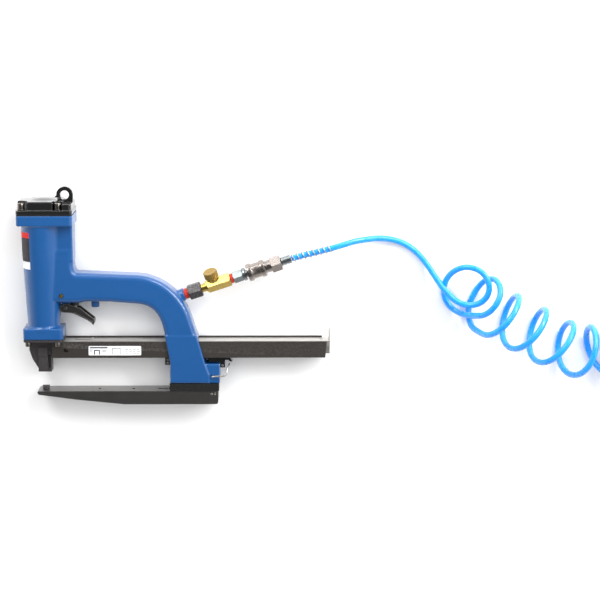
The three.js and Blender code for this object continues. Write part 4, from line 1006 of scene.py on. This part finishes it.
wire("spring_guard", coil(GUARD_LENGTH, GUARD_RADIUS, GUARD_WIRE, GUARD_TURNS, 28), GUARD_WIRE, GUARD_AXES,
     "tool", BRIGHT_STEEL, ("hose_guard",))

# ---------- latch and springs ----------

LATCH_WIRE = 1.05
LATCH_POINTS = [
    (*LATCH_PIVOT, 12), (*LATCH_PIVOT, 17.6), (219.3, 37.5, 19.4), (221.5, 37.7, 20.4), (228, 38.2, 20.6),
    (234, 38.4, 20.6), (237.6, 40.4, 20), (239, 45, 18), (240, 49, 14), (241.2, 51.2, 10), (241.5, 51.4, 4)]
wire("bent_latch", through(LATCH_POINTS, 8), LATCH_WIRE, TOOL, "latch", BRIGHT_STEEL,
     ("latch_wire",))

# Each spring's length, radius, wire radius, turns, points in a turn and axes.
SPRINGS = {
    "pusher_spring": (284, 3.2, 0.35, 70, 14, TOOL @ Matrix.Translation((78 * MM, 72 * MM, 0))),
    "head_valve_spring": (45.2, 16, 1.2, 6, 20, standing((AXIS, 0), 213.2)),
    "trigger_valve_spring": (9.6, 3, 0.35, 6, 20, standing((TRIGGER_VALVE, 0), 152.4)),
}
for name, (length, radius, thickness, turns, steps, axes) in SPRINGS.items():
    wire(f"coiled_{name}", coil(length, radius, thickness, turns, steps), thickness, axes, "tool",
         BRIGHT_STEEL, (name,))

# ---------- decal on the barrel and label on the magazine ----------


def barrel_patch(name, low, high, start, end, material, top=0.08):
    """A thin film on the barrel between two heights, from one angle to another about its axis."""
    steps = 24
    rows = 6
    points = []
    for lift in (top, -0.3):
        for i in range(rows + 1):
            y = low + (high - low) * i / rows
            radius = barrel_radius(y) + lift
            for j in range(steps + 1):
                angle = math.radians(start + (end - start) * j / steps)
                points.append((AXIS - radius * math.cos(angle), y, radius * math.sin(angle)))
    wide = steps + 1
    back = wide * (rows + 1)
    faces = []
    for i in range(rows):
        for j in range(steps):
            a = i * wide + j
            faces.append((a, a + 1, a + 1 + wide, a + wide))
            faces.append((back + a + wide, back + a + 1 + wide, back + a + 1, back + a))
    for j in range(steps):
        a = rows * wide + j
        faces.append((j, back + j, back + j + 1, j + 1))
        faces.append((a, a + 1, back + a + 1, back + a))
    for i in range(rows):
        a = i * wide
        b = a + steps
        faces.append((a, a + wide, back + a + wide, back + a))
        faces.append((b, back + b, back + b + wide, b + wide))
    outward(new_piece(name, points, faces, TOOL, "tool", material))


barrel_patch("decal_red_band", 219.5, 226.6, -60, 57.5, LABEL_RED)
barrel_patch("decal_dark_field", 188.7, 219.5, -60, 57.5, LABEL_INK)
barrel_patch("decal_grey_field", 190, 219, -60, 52, DECAL_GREY, 0.12)
barrel_patch("decal_pale_band", 178.9, 188.7, -60, 57.5, LABEL_FILM)


def film(name, x_range, y_range, z_range, corner, material):
    """A thin flat film with rounded corners, facing along z."""
    corners = [(x_range[1] - corner, y_range[1] - corner, 0), (x_range[0] + corner, y_range[1] - corner, 1),
               (x_range[0] + corner, y_range[0] + corner, 2), (x_range[1] - corner, y_range[0] + corner, 3)]
    rim = []
    for cx, cy, quarter in corners:
        turns = [math.pi / 8 * (4 * quarter + k) for k in range(5)]
        rim += [(cx + corner * math.cos(turn), cy + corner * math.sin(turn)) for turn in turns]
    count = len(rim)
    points = [(*p, z) for z in z_range for p in rim]
    faces = [tuple(reversed(range(count))), tuple(range(count, 2 * count))]
    faces += [(k, (k + 1) % count, count + (k + 1) % count, count + k) for k in range(count)]
    outward(new_piece(name, points, faces, TOOL, "tool", material, smooth=False))


# The label: a small staple among bars on its left, and a larger one, a line and rows of dashes on its right.
# Each mark is left, right, low and high.
LABEL_INKS = [
    (61, 84, 74.2, 75.9), (61, 65, 71.9, 72.5), (61, 64, 70.3, 70.9), (66.4, 74, 70.9, 72.3),
    (66.4, 67.7, 66, 72.3), (72.7, 74, 66, 72.3), (77, 83.5, 71.5, 72.1), (77, 82, 69.8, 70.4)]
LABEL_MARKS = [
    (90, 101, 73.5, 74.7), (90, 91.2, 65.9, 74.7), (99.8, 101, 65.9, 74.7), (103.4, 103.9, 65.9, 76.2)]
for row, y in enumerate((67.4, 69.9, 72.4)):
    for column, x in enumerate((107, 112, 117, 122)):
        LABEL_MARKS.append((x, x + 2.9 + 1.1 * ((column + row + 1) % 2), y, y + 0.9))

film("magazine_label", (59.4, 127.5), (64.9, 77.2), (13.9, 14.12), 1.3, LABEL_FILM)
for kind, marks, material in (("ink", LABEL_INKS, LABEL_INK), ("mark", LABEL_MARKS, LABEL_GREY)):
    for i, (left, right, low, high) in enumerate(marks):
        film(f"magazine_label_{kind}_{i + 1}", (left, right), (low, high), (14.0, 14.18), 0.2, material)

# ---------- CAD nodes that stay ----------

EDGE_WIDTH = 0.3


def dress_node(name, material):
    """A kept CAD node: its split vertices are welded and its edges get small bevels."""
    node = nodes[name]
    custom = node.data.attributes.get("custom_normal")
    if custom:
        node.data.attributes.remove(custom)
    node.data.polygons.foreach_set("use_smooth", [True] * len(node.data.polygons))
    node.data.materials.clear()
    node.data.materials.append(material)
    weld = node.modifiers.new("weld", "WELD")
    weld.merge_threshold = 0.00001
    bevel = node.modifiers.new("edges", "BEVEL")
    bevel.limit_method = "ANGLE"
    bevel.angle_limit = 0.55
    bevel.width = EDGE_WIDTH * MM
    bevel.segments = 2
    bevel.harden_normals = True


for row in frame["record"]["subparts"]:
    if not nodes[row["node"]].hide_render:
        dress_node(row["node"], OWN_MATERIALS.get(row["node"], SLOT_MATERIALS[row["material_slot"]]))
